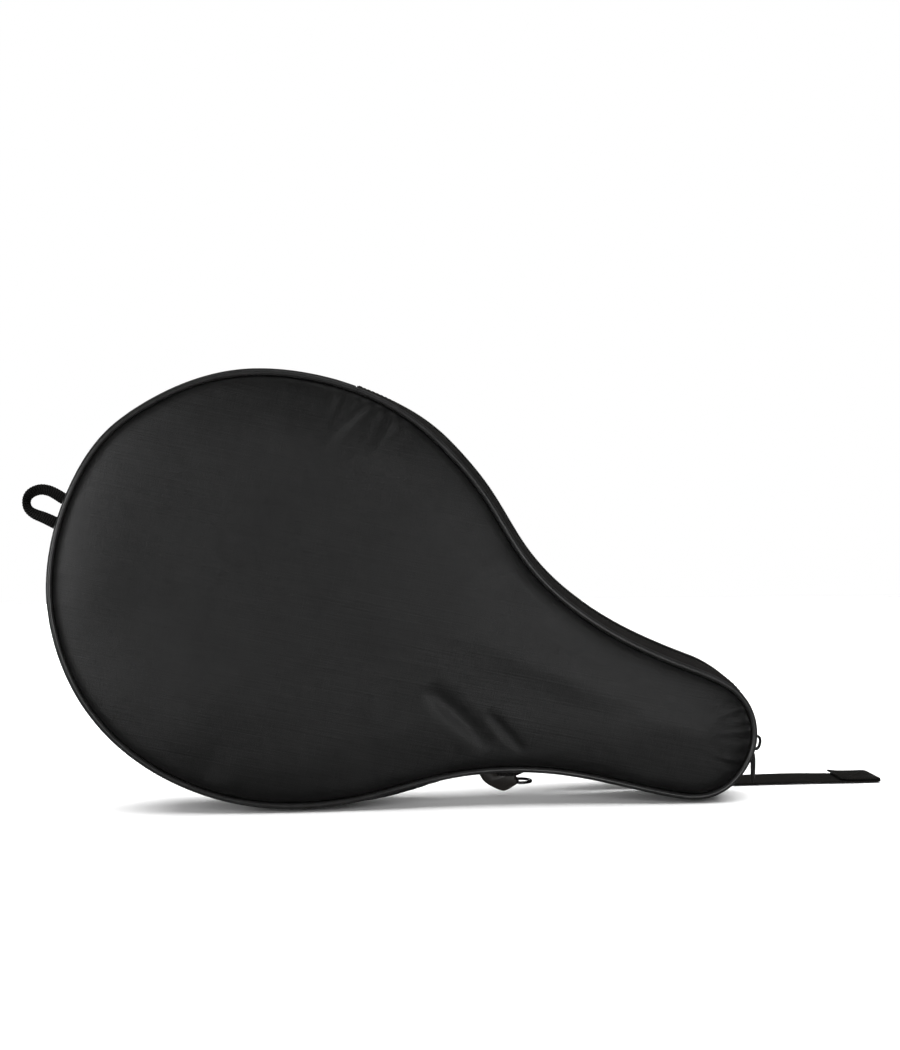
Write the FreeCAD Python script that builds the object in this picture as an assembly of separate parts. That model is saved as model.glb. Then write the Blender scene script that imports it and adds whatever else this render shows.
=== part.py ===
"""Zipped fabric case for a racket-shaped paddle, standing on its lower edge.

Millimetres. +Z is up, +X runs from the round head to the handle end, and -Y is the front.
The case is two padded covers joined by a side wall. A zip opens the upper right part of the wall,
and the front cover folds forward along a slanting line. A webbing shoulder strap lies folded behind.
Everything is laid out in a drawing frame, then moved so that the origin is the middle of the base.
"""
import FreeCAD, Part
import math
import os

from FreeCAD import Vector

# Case
WALL_DEPTH = 48.0
SEAM = WALL_DEPTH / 2
CROWN = 6.0
CROWN_INSET = 22.0
BULGE = 4.0
BULGE_FLAT = 9.0
COVER = 1.0
FOAM = 3.0
LINING = 0.6
WALL = 1.2
WALL_EDGE = 0.3
WALL_FOAM = 2.5
GAP = 0.1
RIM_RISE = 0.5
LAYER_GAP = 0.4
STOP_GAP = 0.15
PIPING_R = 2.0
RIM_INSET = 2.1
PAD_INSET = 7.0
PAD_EDGE = 4.0
BINDING_INSET = 3.6
BINDING_WIDE = 3.0
BINDING_UNDER = 0.6
BINDING_DEEP = 1.4
STATION_PITCH = 9.0

# Middle line of the piping, anticlockwise as seen from the front, from the top of the head
HEAD = [(-92, 288), (-130, 282.5), (-163, 268), (-193, 245.5), (-212.5, 215.5), (-224.5, 181.5),
        (-228.5, 146), (-223, 110.5), (-209.5, 78), (-188, 50), (-160.5, 28.5), (-129, 13.6),
        (-94, 5.3), (-62, 4.1)]
LOWER_NECK = [(-29, 7.8), (8, 16.8), (38, 22.8), (67, 25), (98, 23.6), (129, 18.4), (158, 11.4),
              (182, 6.0), (203, 4.3), (220, 11)]
END_X, END_Z, END_R = 200.0, 46.0, 38.5
END_ANGLES = [-33, -16, 0, 16, 32, 48, 62]
UPPER_NECK = [(190, 92.3), (166, 102.3), (142, 114.3), (118.5, 129.3), (98.7, 145.6), (79, 168.2),
              (55, 206.5), (33, 233.5), (7, 257), (-22, 273.5), (-56, 284)]

# Zip
ZIP_START = (-31.0, 276.5)
ZIP_LOW_ANGLE = -30.0
ZIP_HOLD_ANGLE = 37.0
FACING_EDGE = 8.0
TAPE = 0.8
TAPE_EDGE = 2.6
TAPE_HIDDEN = 17.0
COIL = 2.0
COIL_GAP = 0.55
STOP_WIDE = 2.9
STOP_THICK = 0.9
STOP_FROM, STOP_TO = 1.2, 4.2
SLIDER_ANGLE = -12.0

# Fold line of the front cover, and the axis of the flap's hinge, just in front of the cover
FOLD_SHIFT = 24.0
FOLD_GAP = 0.6
FOLD_Y = -(SEAM + CROWN) - 0.3

# Shoulder strap: a hank on edge behind the back cover, a twist, then the tail flat on the ground
STRAP_WIDE = 30.0
STRAP_THICK = 1.6
HANK_Y = SEAM + CROWN + 0.8
HANK_Z = 36.0
LAYER = 2.0
STRAP_LEFT = -172.0
STRAP_TURN = 58.0
STRAP_START = -88.0
TWIST_FROM, TWIST_TO = 140.0, 226.0
TWIST_STEPS = 12
TWIST_OUT = 2.2
TAIL_Y = 28.0
STRAP_TIP = 349.0
TIP_FOLD = 30.0
LOCK_X = 118.0
LOCK_PITCH = 12.0
LOCK_BAR = 3.0
LOCK_OUT = 3.9
LOCK_PLAY = 0.3
LOCK_RAIL = 2.6
LOCK_SIDE_PLAY = 0.4
LOCK_WEB_START = 68.0
SEAM_TABS = (("head_tab", -125.0, 3, 12.0), ("neck_tab", 61.0, 2, 24.0))
TAB_FALL = 3.0
TAB_WIDTH = 25.0

# Loop at the head, tab and ring under the neck
LOOP_ANCHOR = (-219.0, 199.0)
LOOP_REACH = 27.0
LOOP_WEB = 9.0
LOOP_THICK = 1.4
LOOP_GAP = 7.0
LOOP_BACK = 7.0
RING_X, RING_Z = 79.5, 12.6
RING_WIDE = 14.0
RING_WIRE = 1.0
RING_ARM = 2.5
RING_PLAY = 0.35
TAB_LEFT, TAB_RIGHT, TAB_TOP = 52.0, 78.0, 24.0
TAB_BOWL = [(57.0, 13.0), (63.0, 8.4), (69.5, 6.2), (76.0, 8.2), (82.0, 12.4), (80.5, 15.6)]
TAB_WIDE = 11.0

# The drawing frame's point that becomes the origin
BASE = Vector(50.75, 14.0, 0.0)

nodes = {}


def add(name, shape):
    """Keeps one sub-part, which may be several solids."""
    nodes[name] = shape


def closed_outline():
    """The periodic spline along the middle of the piping."""
    end = [(END_X + END_R * math.cos(math.radians(a)), END_Z + END_R * math.sin(math.radians(a)))
           for a in END_ANGLES]
    curve = Part.BSplineCurve()
    curve.interpolate(Points=[Vector(x, 0, z) for x, z in HEAD + LOWER_NECK + end + UPPER_NECK],
                      PeriodicFlag=True)
    return curve


OUTLINE = closed_outline()
U_MIN, U_MAX = OUTLINE.FirstParameter, OUTLINE.LastParameter
U_TURN = U_MAX - U_MIN


def at(u, offset=0.0, y=0.0):
    """The point beside the outline at u, offset outward, at depth y."""
    u = U_MIN + (u - U_MIN) % U_TURN
    along = OUTLINE.tangent(u)[0]
    outward = Vector(along.z, 0, -along.x)
    point = OUTLINE.value(u) + outward * offset
    return Vector(point.x, y, point.z)


def u_near(x, z):
    return OUTLINE.parameter(Vector(x, 0, z))


def u_end(angle):
    """Where the handle end's arc stands at that angle above horizontal."""
    return u_near(END_X + END_R * math.cos(math.radians(angle)),
                  END_Z + END_R * math.sin(math.radians(angle)))


def rail(offset, y, span):
    """One edge along the outline: the whole way round, or between the two parameters of a span."""
    curve = Part.BSplineCurve()
    if span is None:
        count = int(OUTLINE.length() / STATION_PITCH)
        points = [at(U_MIN + U_TURN * i / count, offset, y) for i in range(count)]
        curve.interpolate(Points=points, PeriodicFlag=True)
        return curve.toShape()
    low, high = span
    if high < low:
        high += U_TURN
    count = max(4, int(OUTLINE.length() * (high - low) / U_TURN / STATION_PITCH))
    curve.interpolate(Points=[at(low + (high - low) * i / count, offset, y) for i in range(count + 1)])
    return curve.toShape()


def solid_from(faces):
    """A closed solid with its faces turned outward."""
    shell = Part.makeShell(faces)
    shell.sewShape()
    solid = Part.makeSolid(shell)
    if solid.Volume < 0:
        solid.reverse()
    return solid


def follow(section, span=None):
    """A solid whose section, (offset, y) corners, follows the outline."""
    rails = [rail(offset, y, span) for offset, y in section]
    faces = [Part.makeRuledSurface(a, b, 1) for a, b in zip(rails, rails[1:] + rails[:1])]
    if span is not None:
        for u in span:
            ring = [at(u, offset, y) for offset, y in section]
            faces.append(Part.Face(Part.makePolygon(ring + ring[:1])))
    return solid_from(faces)


def shell_layer(inset, level, thick, side):
    """A layer of even thickness, open towards the inside of the case."""
    outer_rim = SEAM + RIM_RISE - level
    slope = CROWN / (CROWN_INSET - RIM_INSET)
    rim = outer_rim + slope * (inset - RIM_INSET)
    crown = SEAM + CROWN - level
    rails = [rail(-inset, side * rim, None), rail(-CROWN_INSET, side * crown, None),
             rail(-CROWN_INSET, side * (crown - thick), None), rail(-inset, side * (rim - thick), None)]
    outer_rim_edge, outer_crown, inner_crown, inner_rim_edge = rails
    return solid_from([
        Part.makeRuledSurface(outer_rim_edge, outer_crown, 1), Part.Face(Part.Wire(outer_crown)),
        Part.makeRuledSurface(inner_rim_edge, inner_crown, 1), Part.Face(Part.Wire(inner_crown)),
        Part.makeRuledSurface(outer_rim_edge, inner_rim_edge, 1)])


def prism(points, low, high, axis):
    """A polygon given by two coordinates, pushed along the third axis from low to high."""
    if axis == "y":
        ring = [Vector(a, low, b) for a, b in points]
        push = Vector(0, high - low, 0)
    else:
        ring = [Vector(low, a, b) for a, b in points]
        push = Vector(high - low, 0, 0)
    return Part.Face(Part.makePolygon(ring + ring[:1])).extrude(push)


def band_outline(line, thick):
    """The closed polygon around a line of points, thick across."""
    left, right = [], []
    for i, (a, b) in enumerate(line):
        before = line[max(i - 1, 0)]
        after = line[min(i + 1, len(line) - 1)]
        one = (a - before[0], b - before[1])
        two = (after[0] - a, after[1] - b)
        if i == 0:
            one = two
        if i == len(line) - 1:
            two = one
        one_length = math.hypot(*one)
        two_length = math.hypot(*two)
        n1 = (-one[1] / one_length, one[0] / one_length)
        n2 = (-two[1] / two_length, two[0] / two_length)
        dot = n1[0] * n2[0] + n1[1] * n2[1]
        scale = thick / 2 / (1 + dot)
        shift = ((n1[0] + n2[0]) * scale, (n1[1] + n2[1]) * scale)
        left.append((a + shift[0], b + shift[1]))
        right.append((a - shift[0], b - shift[1]))
    return left + right[::-1]


def turn(x, low, high, side, steps=8):
    """Points of a half circle that takes a strap from one layer to the next."""
    middle, radius = (low + high) / 2, (high - low) / 2
    return [(x + side * abs(radius) * math.sin(math.pi * i / steps),
             middle - radius * math.cos(math.pi * i / steps)) for i in range(steps + 1)]


# ---------------------------------------------------------------- covers
FRONT, BACK = -1, 1
LAYERS = {"cover": (RIM_INSET, 0.0, COVER),
          "foam": (PAD_INSET, COVER + LAYER_GAP, FOAM),
          "lining": (PAD_INSET, COVER + FOAM + 2 * LAYER_GAP, LINING)}

start = Vector(ZIP_START[0], 0, ZIP_START[1])
low_end = at(u_end(ZIP_LOW_ANGLE))
fold_along = (low_end - start).normalize()
fold_out = Vector(-fold_along.z, 0, fold_along.x)
fold_from = start - fold_out * FOLD_SHIFT


def flap_side(gap):
    """A slab that holds everything on the flap's side of the fold line."""
    a = fold_from - fold_along * 400 - fold_out * gap
    b = fold_from + fold_along * 800 - fold_out * gap
    far = fold_out * 400
    ring = [a, b, b + far, a + far, a]
    face = Part.Face(Part.makePolygon([Vector(p.x, -80, p.z) for p in ring]))
    return face.extrude(Vector(0, 160, 0))


FLAP = flap_side(0.0)
FLAP_AND_GAP = flap_side(FOLD_GAP)


def make_covers():
    for layer, (inset, level, thick) in LAYERS.items():
        add("back_" + layer, shell_layer(inset, level, thick, BACK))
        whole = shell_layer(inset, level, thick, FRONT)
        add("front_" + layer, whole.cut(FLAP_AND_GAP))
        add("flap_" + layer, whole.common(FLAP))


def ring_section(radius, y):
    """An eight-sided round section."""
    return [(radius * math.cos(math.radians(22.5 + 45 * i)),
             y + radius * math.sin(math.radians(22.5 + 45 * i))) for i in range(8)]


def make_seams():
    """Piping outside each seam, and the binding tape over its raw edges inside."""
    edge, far = -BINDING_INSET, -BINDING_INSET - BINDING_WIDE
    top, under = SEAM - BINDING_UNDER, SEAM - BINDING_UNDER - BINDING_DEEP
    binding = [(far, top), (edge, top), (edge, under), (far, under)]
    for side, name in ((FRONT, "front"), (BACK, "back")):
        piping = follow(ring_section(PIPING_R, side * SEAM))
        tape = follow([(o, side * y) for o, y in binding])
        if side == FRONT:
            add("front_piping", piping.cut(FLAP_AND_GAP))
            add("flap_piping", piping.common(FLAP))
            add("front_binding", tape.cut(FLAP_AND_GAP))
            add("flap_binding", tape.common(FLAP))
        else:
            add("back_piping", piping)
            add("back_binding", tape)


# ---------------------------------------------------------------- side wall
U_ZIP_TOP = u_near(*ZIP_START)
U_ZIP_LOW = u_end(ZIP_LOW_ANGLE)
U_ZIP_HOLD = u_end(ZIP_HOLD_ANGLE)
SEWN = (U_ZIP_TOP, U_ZIP_LOW)
ZIPPED = (U_ZIP_LOW, U_ZIP_TOP)
HELD = (U_ZIP_LOW, U_ZIP_HOLD)
FREE = (U_ZIP_HOLD, U_ZIP_TOP)


def inset_span(span, trim):
    """The same span, shortened at each end by a small share of the outline."""
    low, high = span
    share = trim / OUTLINE.length() * U_TURN
    return (U_MIN + (low + share - U_MIN) % U_TURN, U_MIN + (high - share - U_MIN) % U_TURN)


def wall_offset(y):
    """How far the wall stands out at depth y."""
    edge = SEAM - PIPING_R
    reach = min(1.0, (edge - abs(y)) / (edge - BULGE_FLAT))
    return WALL_EDGE + (BULGE - WALL_EDGE) * reach


def wall_layer(edge, top, thick):
    """A wall section whose outside is top under the wall's outside."""
    ys = [-edge, -BULGE_FLAT, BULGE_FLAT, edge]
    outer = [(wall_offset(y) - top, y) for y in ys]
    return outer + [(o - thick, y) for o, y in outer[::-1]]


def make_wall():
    edge = SEAM - PIPING_R - GAP
    pad_edge = edge - PAD_EDGE
    sewn = inset_span(SEWN, 2 * GAP)
    add("side_wall", follow(wall_layer(edge, 0.0, WALL), sewn))
    add("wall_foam", follow(wall_layer(pad_edge, WALL + GAP, WALL_FOAM), sewn))
    add("wall_lining", follow(wall_layer(pad_edge, WALL + WALL_FOAM + 2 * GAP, LINING), sewn))


def zip_sections(side):
    """Sections of the facing, the tape and the coil on one side of the zip."""
    edge = SEAM - PIPING_R - GAP
    facing = [(wall_offset(edge), edge), (BULGE, BULGE_FLAT), (BULGE, FACING_EDGE)]
    facing = facing + [(o - WALL, y) for o, y in facing[::-1]]
    tape_top = BULGE - WALL - GAP
    hidden_top = wall_offset(TAPE_HIDDEN) - WALL - 2 * GAP
    tape = [(hidden_top, TAPE_HIDDEN), (tape_top, BULGE_FLAT), (tape_top, TAPE_EDGE)]
    tape = tape + [(o - TAPE, y) for o, y in tape[::-1]]
    coil = [(tape_top + COIL, TAPE_EDGE - GAP), (tape_top + COIL, COIL_GAP), (tape_top - TAPE, COIL_GAP),
            (tape_top - TAPE, TAPE_EDGE - GAP)]
    return [("facing", [(o, side * y) for o, y in facing]),
            ("tape", [(o, side * y) for o, y in tape]),
            ("coil", [(o, side * y) for o, y in coil])]


def stop_block(span_start, shift, low_y, high_y):
    """A small block clamped on the coils, beside one end of the zip."""
    top = BULGE - WALL - GAP + COIL + STOP_GAP
    share = shift * U_TURN / OUTLINE.length()
    span = sorted((span_start + share * STOP_FROM, span_start + share * STOP_TO))
    return follow([(top, low_y), (top, high_y), (top + STOP_THICK, high_y), (top + STOP_THICK, low_y)], span)


def make_zip():
    for name, section in zip_sections(BACK):
        add("zip_back_" + name, follow(section, inset_span(ZIPPED, 0.3)))
    for name, section in zip_sections(FRONT):
        add("zip_front_" + name, follow(section, inset_span(FREE, 0.5)))
        add("zip_end_" + name, follow(section, inset_span(HELD, 0.3)))
    add("zip_back_stop", stop_block(U_ZIP_TOP, -1, COIL_GAP, STOP_WIDE))
    add("zip_front_stop", stop_block(U_ZIP_TOP, -1, -STOP_WIDE, -COIL_GAP))
    add("zip_end_stop", stop_block(U_ZIP_LOW, 1, -STOP_WIDE, STOP_WIDE))


# ---------------------------------------------------------------- zip slider and pull
COIL_TOP = BULGE - WALL - GAP + COIL
TAPE_UNDER = BULGE - WALL - GAP - TAPE
SLIDER_PLAY = 0.35
PLATE_IN = END_R + COIL_TOP + SLIDER_PLAY
PLATE = 1.2
SLIDER_WIDE = 8.0
SLIDER_HALF_ANGLE = 6.0
POST_WIDE = 0.6
BRIDGE_RISE = 4.6
BRIDGE_WIDE = 2.6
WINDOW_LOW = 0.4
WINDOW_HIGH = 2.9
PIVOT_RISE = 1.65
PULL_PIN_R = 0.75
PULL_THICK = 1.4
PULL_WIDE = 5.6
PULL_ARM = 6.5
PULL_ARM_WIDE = 1.2
PULL_LONG = 27.0
SLOT_WIDE, SLOT_LONG, SLOT_RISE = 2.2, 7.0, 2.0


def end_arc(radius, half_span, half_wide, thick, middle=SLIDER_ANGLE):
    """A plate bent round the handle end's centre, at the slider's place."""
    points = []
    steps = 6
    for r, order in ((radius, 1), (radius + thick, -1)):
        for i in range(steps + 1)[::order]:
            a = math.radians(middle - half_span + 2 * half_span * i / steps)
            points.append((END_X + r * math.cos(a), END_Z + r * math.sin(a)))
    return prism(points, -half_wide, half_wide, "y")


def make_slider():
    """The slider, one casting: outer plate, inner plate, the post between them and the bridge."""
    half = SLIDER_HALF_ANGLE
    inner_r = END_R + TAPE_UNDER - SLIDER_PLAY - PLATE
    body = end_arc(PLATE_IN, half, SLIDER_WIDE / 2, PLATE)
    body = body.fuse(end_arc(inner_r, half, SLIDER_WIDE / 2, PLATE))
    post_r = inner_r + PLATE / 2
    body = body.fuse(end_arc(post_r, half / 3, POST_WIDE / 2, PLATE_IN + PLATE / 2 - post_r))
    top = PLATE_IN + PLATE
    bridge = end_arc(top - PLATE / 2, half - 0.6, BRIDGE_WIDE / 2, BRIDGE_RISE + PLATE / 2)
    window = end_arc(top + WINDOW_LOW, half - 2.0, BRIDGE_WIDE, WINDOW_HIGH - WINDOW_LOW)
    add("zip_slider", body.fuse(bridge.cut(window)).removeSplitter())


def pull_pivot():
    """The middle of the pull's pin, in the bridge's window."""
    a = math.radians(SLIDER_ANGLE - SLIDER_HALF_ANGLE / 3)
    r = PLATE_IN + PLATE + PIVOT_RISE
    return END_X + r * math.cos(a), END_Z + r * math.sin(a)


def make_pull():
    """A hanging pull: a pin in the slider's bridge, two arms, and a slim plate with a slot."""
    x, z = pull_pivot()
    left, half = x - PULL_THICK / 2, PULL_WIDE / 2
    low = z - PULL_LONG
    body = Part.makeCylinder(PULL_PIN_R, PULL_WIDE, Vector(x, -half, z), Vector(0, 1, 0))
    for y in (-half, half - PULL_ARM_WIDE):
        arm = Part.makeBox(PULL_THICK, PULL_ARM_WIDE, PULL_ARM + 1, Vector(left, y, z - PULL_ARM - 1))
        body = body.fuse(arm)
    body = body.fuse(Part.makeBox(PULL_THICK, PULL_WIDE, PULL_LONG - PULL_ARM, Vector(left, -half, low)))
    slot = Part.makeBox(3 * PULL_THICK, SLOT_WIDE, SLOT_LONG,
                        Vector(x - 1.5 * PULL_THICK, -SLOT_WIDE / 2, low + SLOT_RISE))
    add("zip_pull", body.cut(slot).removeSplitter())


# ---------------------------------------------------------------- loop, tab and ring
def make_loop():
    """Webbing loop sewn into the front seam at the head: two legs side by side, and a turned-over tip."""
    x, z = LOOP_ANCHOR
    up = OUTLINE.tangent(u_near(x, z))[0] * -1
    out = Vector(-up.z, 0, up.x)
    root = at(u_near(x, z), PIPING_R + GAP)
    half = LOOP_GAP / 2 + LOOP_WEB
    tip_r = half - 1.5
    leg = LOOP_REACH - tip_r

    def corner(a, b, y):
        p = root + out * a + up * b
        return Vector(p.x, y, p.z)

    solids = []
    for side in (-1, 1):
        ring = [corner(0, side * LOOP_GAP / 2, 0), corner(0, side * half, 0),
                corner(leg, side * half, 0), corner(leg, side * LOOP_GAP / 2, 0)]
        face = Part.Face(Part.makePolygon([Vector(p.x, -LOOP_THICK / 2, p.z) for p in ring + ring[:1]]))
        solids.append(face.extrude(Vector(0, LOOP_THICK, 0)))
    line = []
    for i in range(13):
        a = math.pi * i / 12
        line.append((leg - 0.5 + tip_r * math.sin(a), tip_r * math.cos(a)))
    ring = [corner(a, b, 0) for a, b in band_outline(line, LOOP_THICK)]
    face = Part.Face(Part.makePolygon([Vector(p.x, -LOOP_WEB / 2, p.z) for p in ring + ring[:1]]))
    solids.append(face.extrude(Vector(0, LOOP_WEB, 0)))
    loop = solids[0].fuse(solids[1:]).removeSplitter()
    loop.translate(Vector(0, -SEAM + LOOP_BACK, 0))
    add("hanging_loop", loop)


def make_ring_tab():
    """A folded tab under the neck, and the D-ring that its fold holds."""
    top = [(x, at(u_near(x, TAB_TOP)).z - BULGE - GAP) for x in (TAB_LEFT, TAB_RIGHT)]
    tab = prism(top[:1] + TAB_BOWL + top[1:], -TAB_WIDE / 2, TAB_WIDE / 2, "y")
    tunnel = Part.makeCylinder(RING_WIRE + RING_PLAY, RING_WIDE, Vector(RING_X, -RING_WIDE / 2, RING_Z),
                               Vector(0, 1, 0))
    add("ring_tab", tab.cut(tunnel))
    half = RING_WIDE / 2
    ring = Part.makeCylinder(RING_WIRE, RING_WIDE, Vector(RING_X, -half, RING_Z), Vector(0, 1, 0))
    for y in (-half, half):
        corner = Vector(RING_X, y, RING_Z)
        ring = ring.fuse([Part.makeSphere(RING_WIRE, corner),
                          Part.makeCylinder(RING_WIRE, RING_ARM, corner, Vector(1, 0, 0))])
    middle = Vector(RING_X + RING_ARM, 0, RING_Z)
    bow = Part.makeTorus(half, RING_WIRE, middle, Vector(0, 0, 1))
    front_half = Part.makeBox(4 * half, 4 * half, 4 * RING_WIRE, middle - Vector(0, 2 * half, 2 * RING_WIRE))
    add("d_ring", ring.fuse(bow.common(front_half)).removeSplitter())


# ---------------------------------------------------------------- shoulder strap
def hank_y(level):
    """The middle of a layer of the hank, counted outward from the back cover."""
    return HANK_Y + STRAP_THICK / 2 + level * LAYER


def on_edge(line):
    """Webbing that stands on its edge: a line of (x, y) points, pushed up by its width."""
    ring = [Vector(x, y, HANK_Z) for x, y in band_outline(line, STRAP_THICK)]
    return Part.Face(Part.makePolygon(ring + ring[:1])).extrude(Vector(0, 0, STRAP_WIDE))


def strap_twist():
    """The stretch that comes down from the lock and lies flat: a ribbon turned by a quarter."""
    corners = [[], [], [], []]
    for i in range(TWIST_STEPS + 1):
        t = i / TWIST_STEPS
        eased = t * t * (3 - 2 * t)
        sooner = min(1.0, t * TWIST_OUT)
        sooner = sooner * sooner * (3 - 2 * sooner)
        angle = math.radians(90) * eased
        wide = Vector(0, math.sin(angle), math.cos(angle)) * (STRAP_WIDE / 2)
        thick = Vector(0, math.cos(angle), -math.sin(angle)) * (STRAP_THICK / 2)
        top_z, low_z = HANK_Z + STRAP_WIDE / 2, STRAP_THICK / 2
        middle = Vector(TWIST_FROM + (TWIST_TO - TWIST_FROM) * t,
                        hank_y(0) + (TAIL_Y + STRAP_WIDE / 2 - hank_y(0)) * sooner,
                        top_z + (low_z - top_z) * eased)
        for k, (a, b) in enumerate(((-1, -1), (1, -1), (1, 1), (-1, 1))):
            corners[k].append(middle + wide * a + thick * b)
    edges = []
    for points in corners:
        curve = Part.BSplineCurve()
        curve.interpolate(Points=points)
        edges.append(curve.toShape())
    faces = [Part.makeRuledSurface(a, b, 1) for a, b in zip(edges, edges[1:] + edges[:1])]
    for end in (0, -1):
        ring = [points[end] for points in corners]
        faces.append(Part.Face(Part.makePolygon(ring + ring[:1])))
    return solid_from(faces)


def make_strap():
    """One webbing: four runs folded on each other, woven over the lock's middle bar, then the free tail."""
    over = HANK_Y + STRAP_THICK / 2 + LOCK_OUT + LOCK_BAR + LOCK_PLAY
    line = [(STRAP_START, hank_y(3))]
    line += turn(STRAP_LEFT, hank_y(3), hank_y(2), -1)
    line += turn(STRAP_TURN, hank_y(2), hank_y(1), 1)
    line += turn(STRAP_LEFT, hank_y(1), hank_y(0), -1)
    rise = LOCK_PITCH * 0.6
    line += [(LOCK_X - rise, hank_y(0)), (LOCK_X - 2.6, over), (LOCK_X + 2.6, over),
             (LOCK_X + rise, hank_y(0)), (TWIST_FROM, hank_y(0))]
    low, fold_z = STRAP_THICK / 2, STRAP_THICK / 2 + LAYER
    turn_x = STRAP_TIP - LAYER / 2 - STRAP_THICK / 2
    tail_line = [(TWIST_TO, low), (turn_x, low)] + turn(turn_x, low, fold_z, 1)[1:]
    tail_line += [(STRAP_TIP - TIP_FOLD, fold_z)]
    tail = prism(band_outline(tail_line, STRAP_THICK), TAIL_Y, TAIL_Y + STRAP_WIDE, "y")
    add("shoulder_strap", on_edge(line).fuse([strap_twist(), tail]))


def make_lock():
    """Three-bar lock that the strap is woven through, and the doubled webbing round its first bar."""
    low_z = HANK_Z - LOCK_RAIL - LOCK_SIDE_PLAY
    wide = STRAP_WIDE + 2 * (LOCK_RAIL + LOCK_SIDE_PLAY)
    outer = 2 * LOCK_PITCH + LOCK_BAR
    lock_y = HANK_Y + LOCK_OUT
    frame = Part.makeBox(outer, LOCK_BAR, wide, Vector(LOCK_X - outer / 2, lock_y, low_z))
    slot = LOCK_PITCH - LOCK_BAR
    for x in (LOCK_X - LOCK_PITCH, LOCK_X):
        hole = Part.makeBox(slot, 3 * LOCK_BAR, STRAP_WIDE + 2 * LOCK_SIDE_PLAY,
                            Vector(x + LOCK_BAR / 2, lock_y - LOCK_BAR, HANK_Z - LOCK_SIDE_PLAY))
        frame = frame.cut(hole)
    add("ladder_lock", frame)
    away = LOCK_BAR / 2 + LOCK_PLAY + STRAP_THICK / 2
    bar_x, bar_y = LOCK_X - LOCK_PITCH, lock_y + LOCK_BAR / 2
    line = [(LOCK_WEB_START, hank_y(1)), (bar_x + away - 1, hank_y(1)), (bar_x + away, hank_y(1) + 1),
            (bar_x + away, bar_y + away - 1), (bar_x + away - 1, bar_y + away), (bar_x - 2, bar_y + away),
            (bar_x - 16, hank_y(2)), (LOCK_WEB_START, hank_y(2))]
    add("lock_webbing", on_edge(line))


def make_tabs():
    """Two webbing tabs out of the back seam, each stitched across the webbing that it holds."""
    for name, x, level, near_z in SEAM_TABS:
        rest_y = hank_y(level) + STRAP_THICK + LAYER_GAP / 2
        seam_z = at(u_near(x + TAB_WIDTH / 2, near_z)).z
        line = [(SEAM + PIPING_R + LAYER_GAP, seam_z), (rest_y, HANK_Z - TAB_FALL),
                (rest_y, HANK_Z + STRAP_WIDE)]
        add(name, prism(band_outline(line, STRAP_THICK), x, x + TAB_WIDTH, "x"))


make_covers()
make_seams()
make_wall()
make_zip()
make_slider()
make_pull()
make_loop()
make_ring_tab()
make_strap()
make_lock()
make_tabs()

os.makedirs("parts", exist_ok=True)
for name, shape in nodes.items():
    shape.translate(BASE * -1)
    shape.exportStep("parts/" + name + ".step")
    box = shape.BoundBox
    print(name, len(shape.Solids), shape.ShapeType, shape.isValid(), round(shape.Volume),
          [round(v, 1) for v in (box.XMin, box.YMin, box.ZMin, box.XMax, box.YMax, box.ZMax)])
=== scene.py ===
"""Looks of the zipped fabric case: covers, piping, wall, zip, webbing, floor, light and camera.

Lengths are millimetres in the drawing frame of the part: +Z up, +X towards the handle end, -Y the
front. put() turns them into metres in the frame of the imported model.
"""
import math
import random

import bmesh
import bpy
import numpy as np
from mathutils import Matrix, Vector, kdtree, noise
from mathutils.geometry import delaunay_2d_cdt


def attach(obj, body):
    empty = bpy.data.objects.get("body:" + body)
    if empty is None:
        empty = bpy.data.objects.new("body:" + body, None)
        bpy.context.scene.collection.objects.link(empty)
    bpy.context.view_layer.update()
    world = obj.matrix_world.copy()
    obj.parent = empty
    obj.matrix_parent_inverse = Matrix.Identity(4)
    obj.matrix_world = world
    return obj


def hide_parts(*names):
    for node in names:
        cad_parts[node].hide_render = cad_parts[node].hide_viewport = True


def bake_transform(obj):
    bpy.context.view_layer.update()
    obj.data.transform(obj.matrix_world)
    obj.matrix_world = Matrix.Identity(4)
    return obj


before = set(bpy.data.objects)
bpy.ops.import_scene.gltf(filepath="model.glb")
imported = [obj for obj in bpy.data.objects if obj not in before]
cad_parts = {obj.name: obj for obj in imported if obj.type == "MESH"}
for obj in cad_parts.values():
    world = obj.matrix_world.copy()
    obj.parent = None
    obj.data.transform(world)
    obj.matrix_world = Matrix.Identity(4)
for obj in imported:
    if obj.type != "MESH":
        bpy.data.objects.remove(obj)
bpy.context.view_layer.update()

MM = 0.001
BASE = np.array([50.75, 14.0, 0.0])

# ------------------------------------------------------------------ the part's own measures
HEAD = [(-92, 288), (-130, 282.5), (-163, 268), (-193, 245.5), (-212.5, 215.5), (-224.5, 181.5),
        (-228.5, 146), (-223, 110.5), (-209.5, 78), (-188, 50), (-160.5, 28.5), (-129, 13.6),
        (-94, 5.3), (-62, 4.1)]
LOWER_NECK = [(-29, 7.8), (8, 16.8), (38, 22.8), (67, 25), (98, 23.6), (129, 18.4), (158, 11.4),
              (182, 6.0), (203, 4.3), (220, 11)]
END_X, END_Z, END_R = 200.0, 46.0, 38.5
END_ANGLES = [-33, -16, 0, 16, 32, 48, 62]
UPPER_NECK = [(190, 92.3), (166, 102.3), (142, 114.3), (118.5, 129.3), (98.7, 145.6), (79, 168.2),
              (55, 206.5), (33, 233.5), (7, 257), (-22, 273.5), (-56, 284)]
SEAM = 24.0
COVER_IN = 1.9
TAPE_UNDER = 1.9
BULGE = 4.0
PIPING_R = 2.0
ZIP_START = (-31.0, 276.5)
ZIP_LOW_ANGLE, ZIP_HOLD_ANGLE = -30.0, 37.0
FOLD_SHIFT = 24.0
SLIDER_ANGLE = -12.0
PIVOT_ANGLE = SLIDER_ANGLE - 2.0
PLATE_IN, PLATE, PLATE_PLAY = 43.55, 1.2, 0.35
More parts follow.
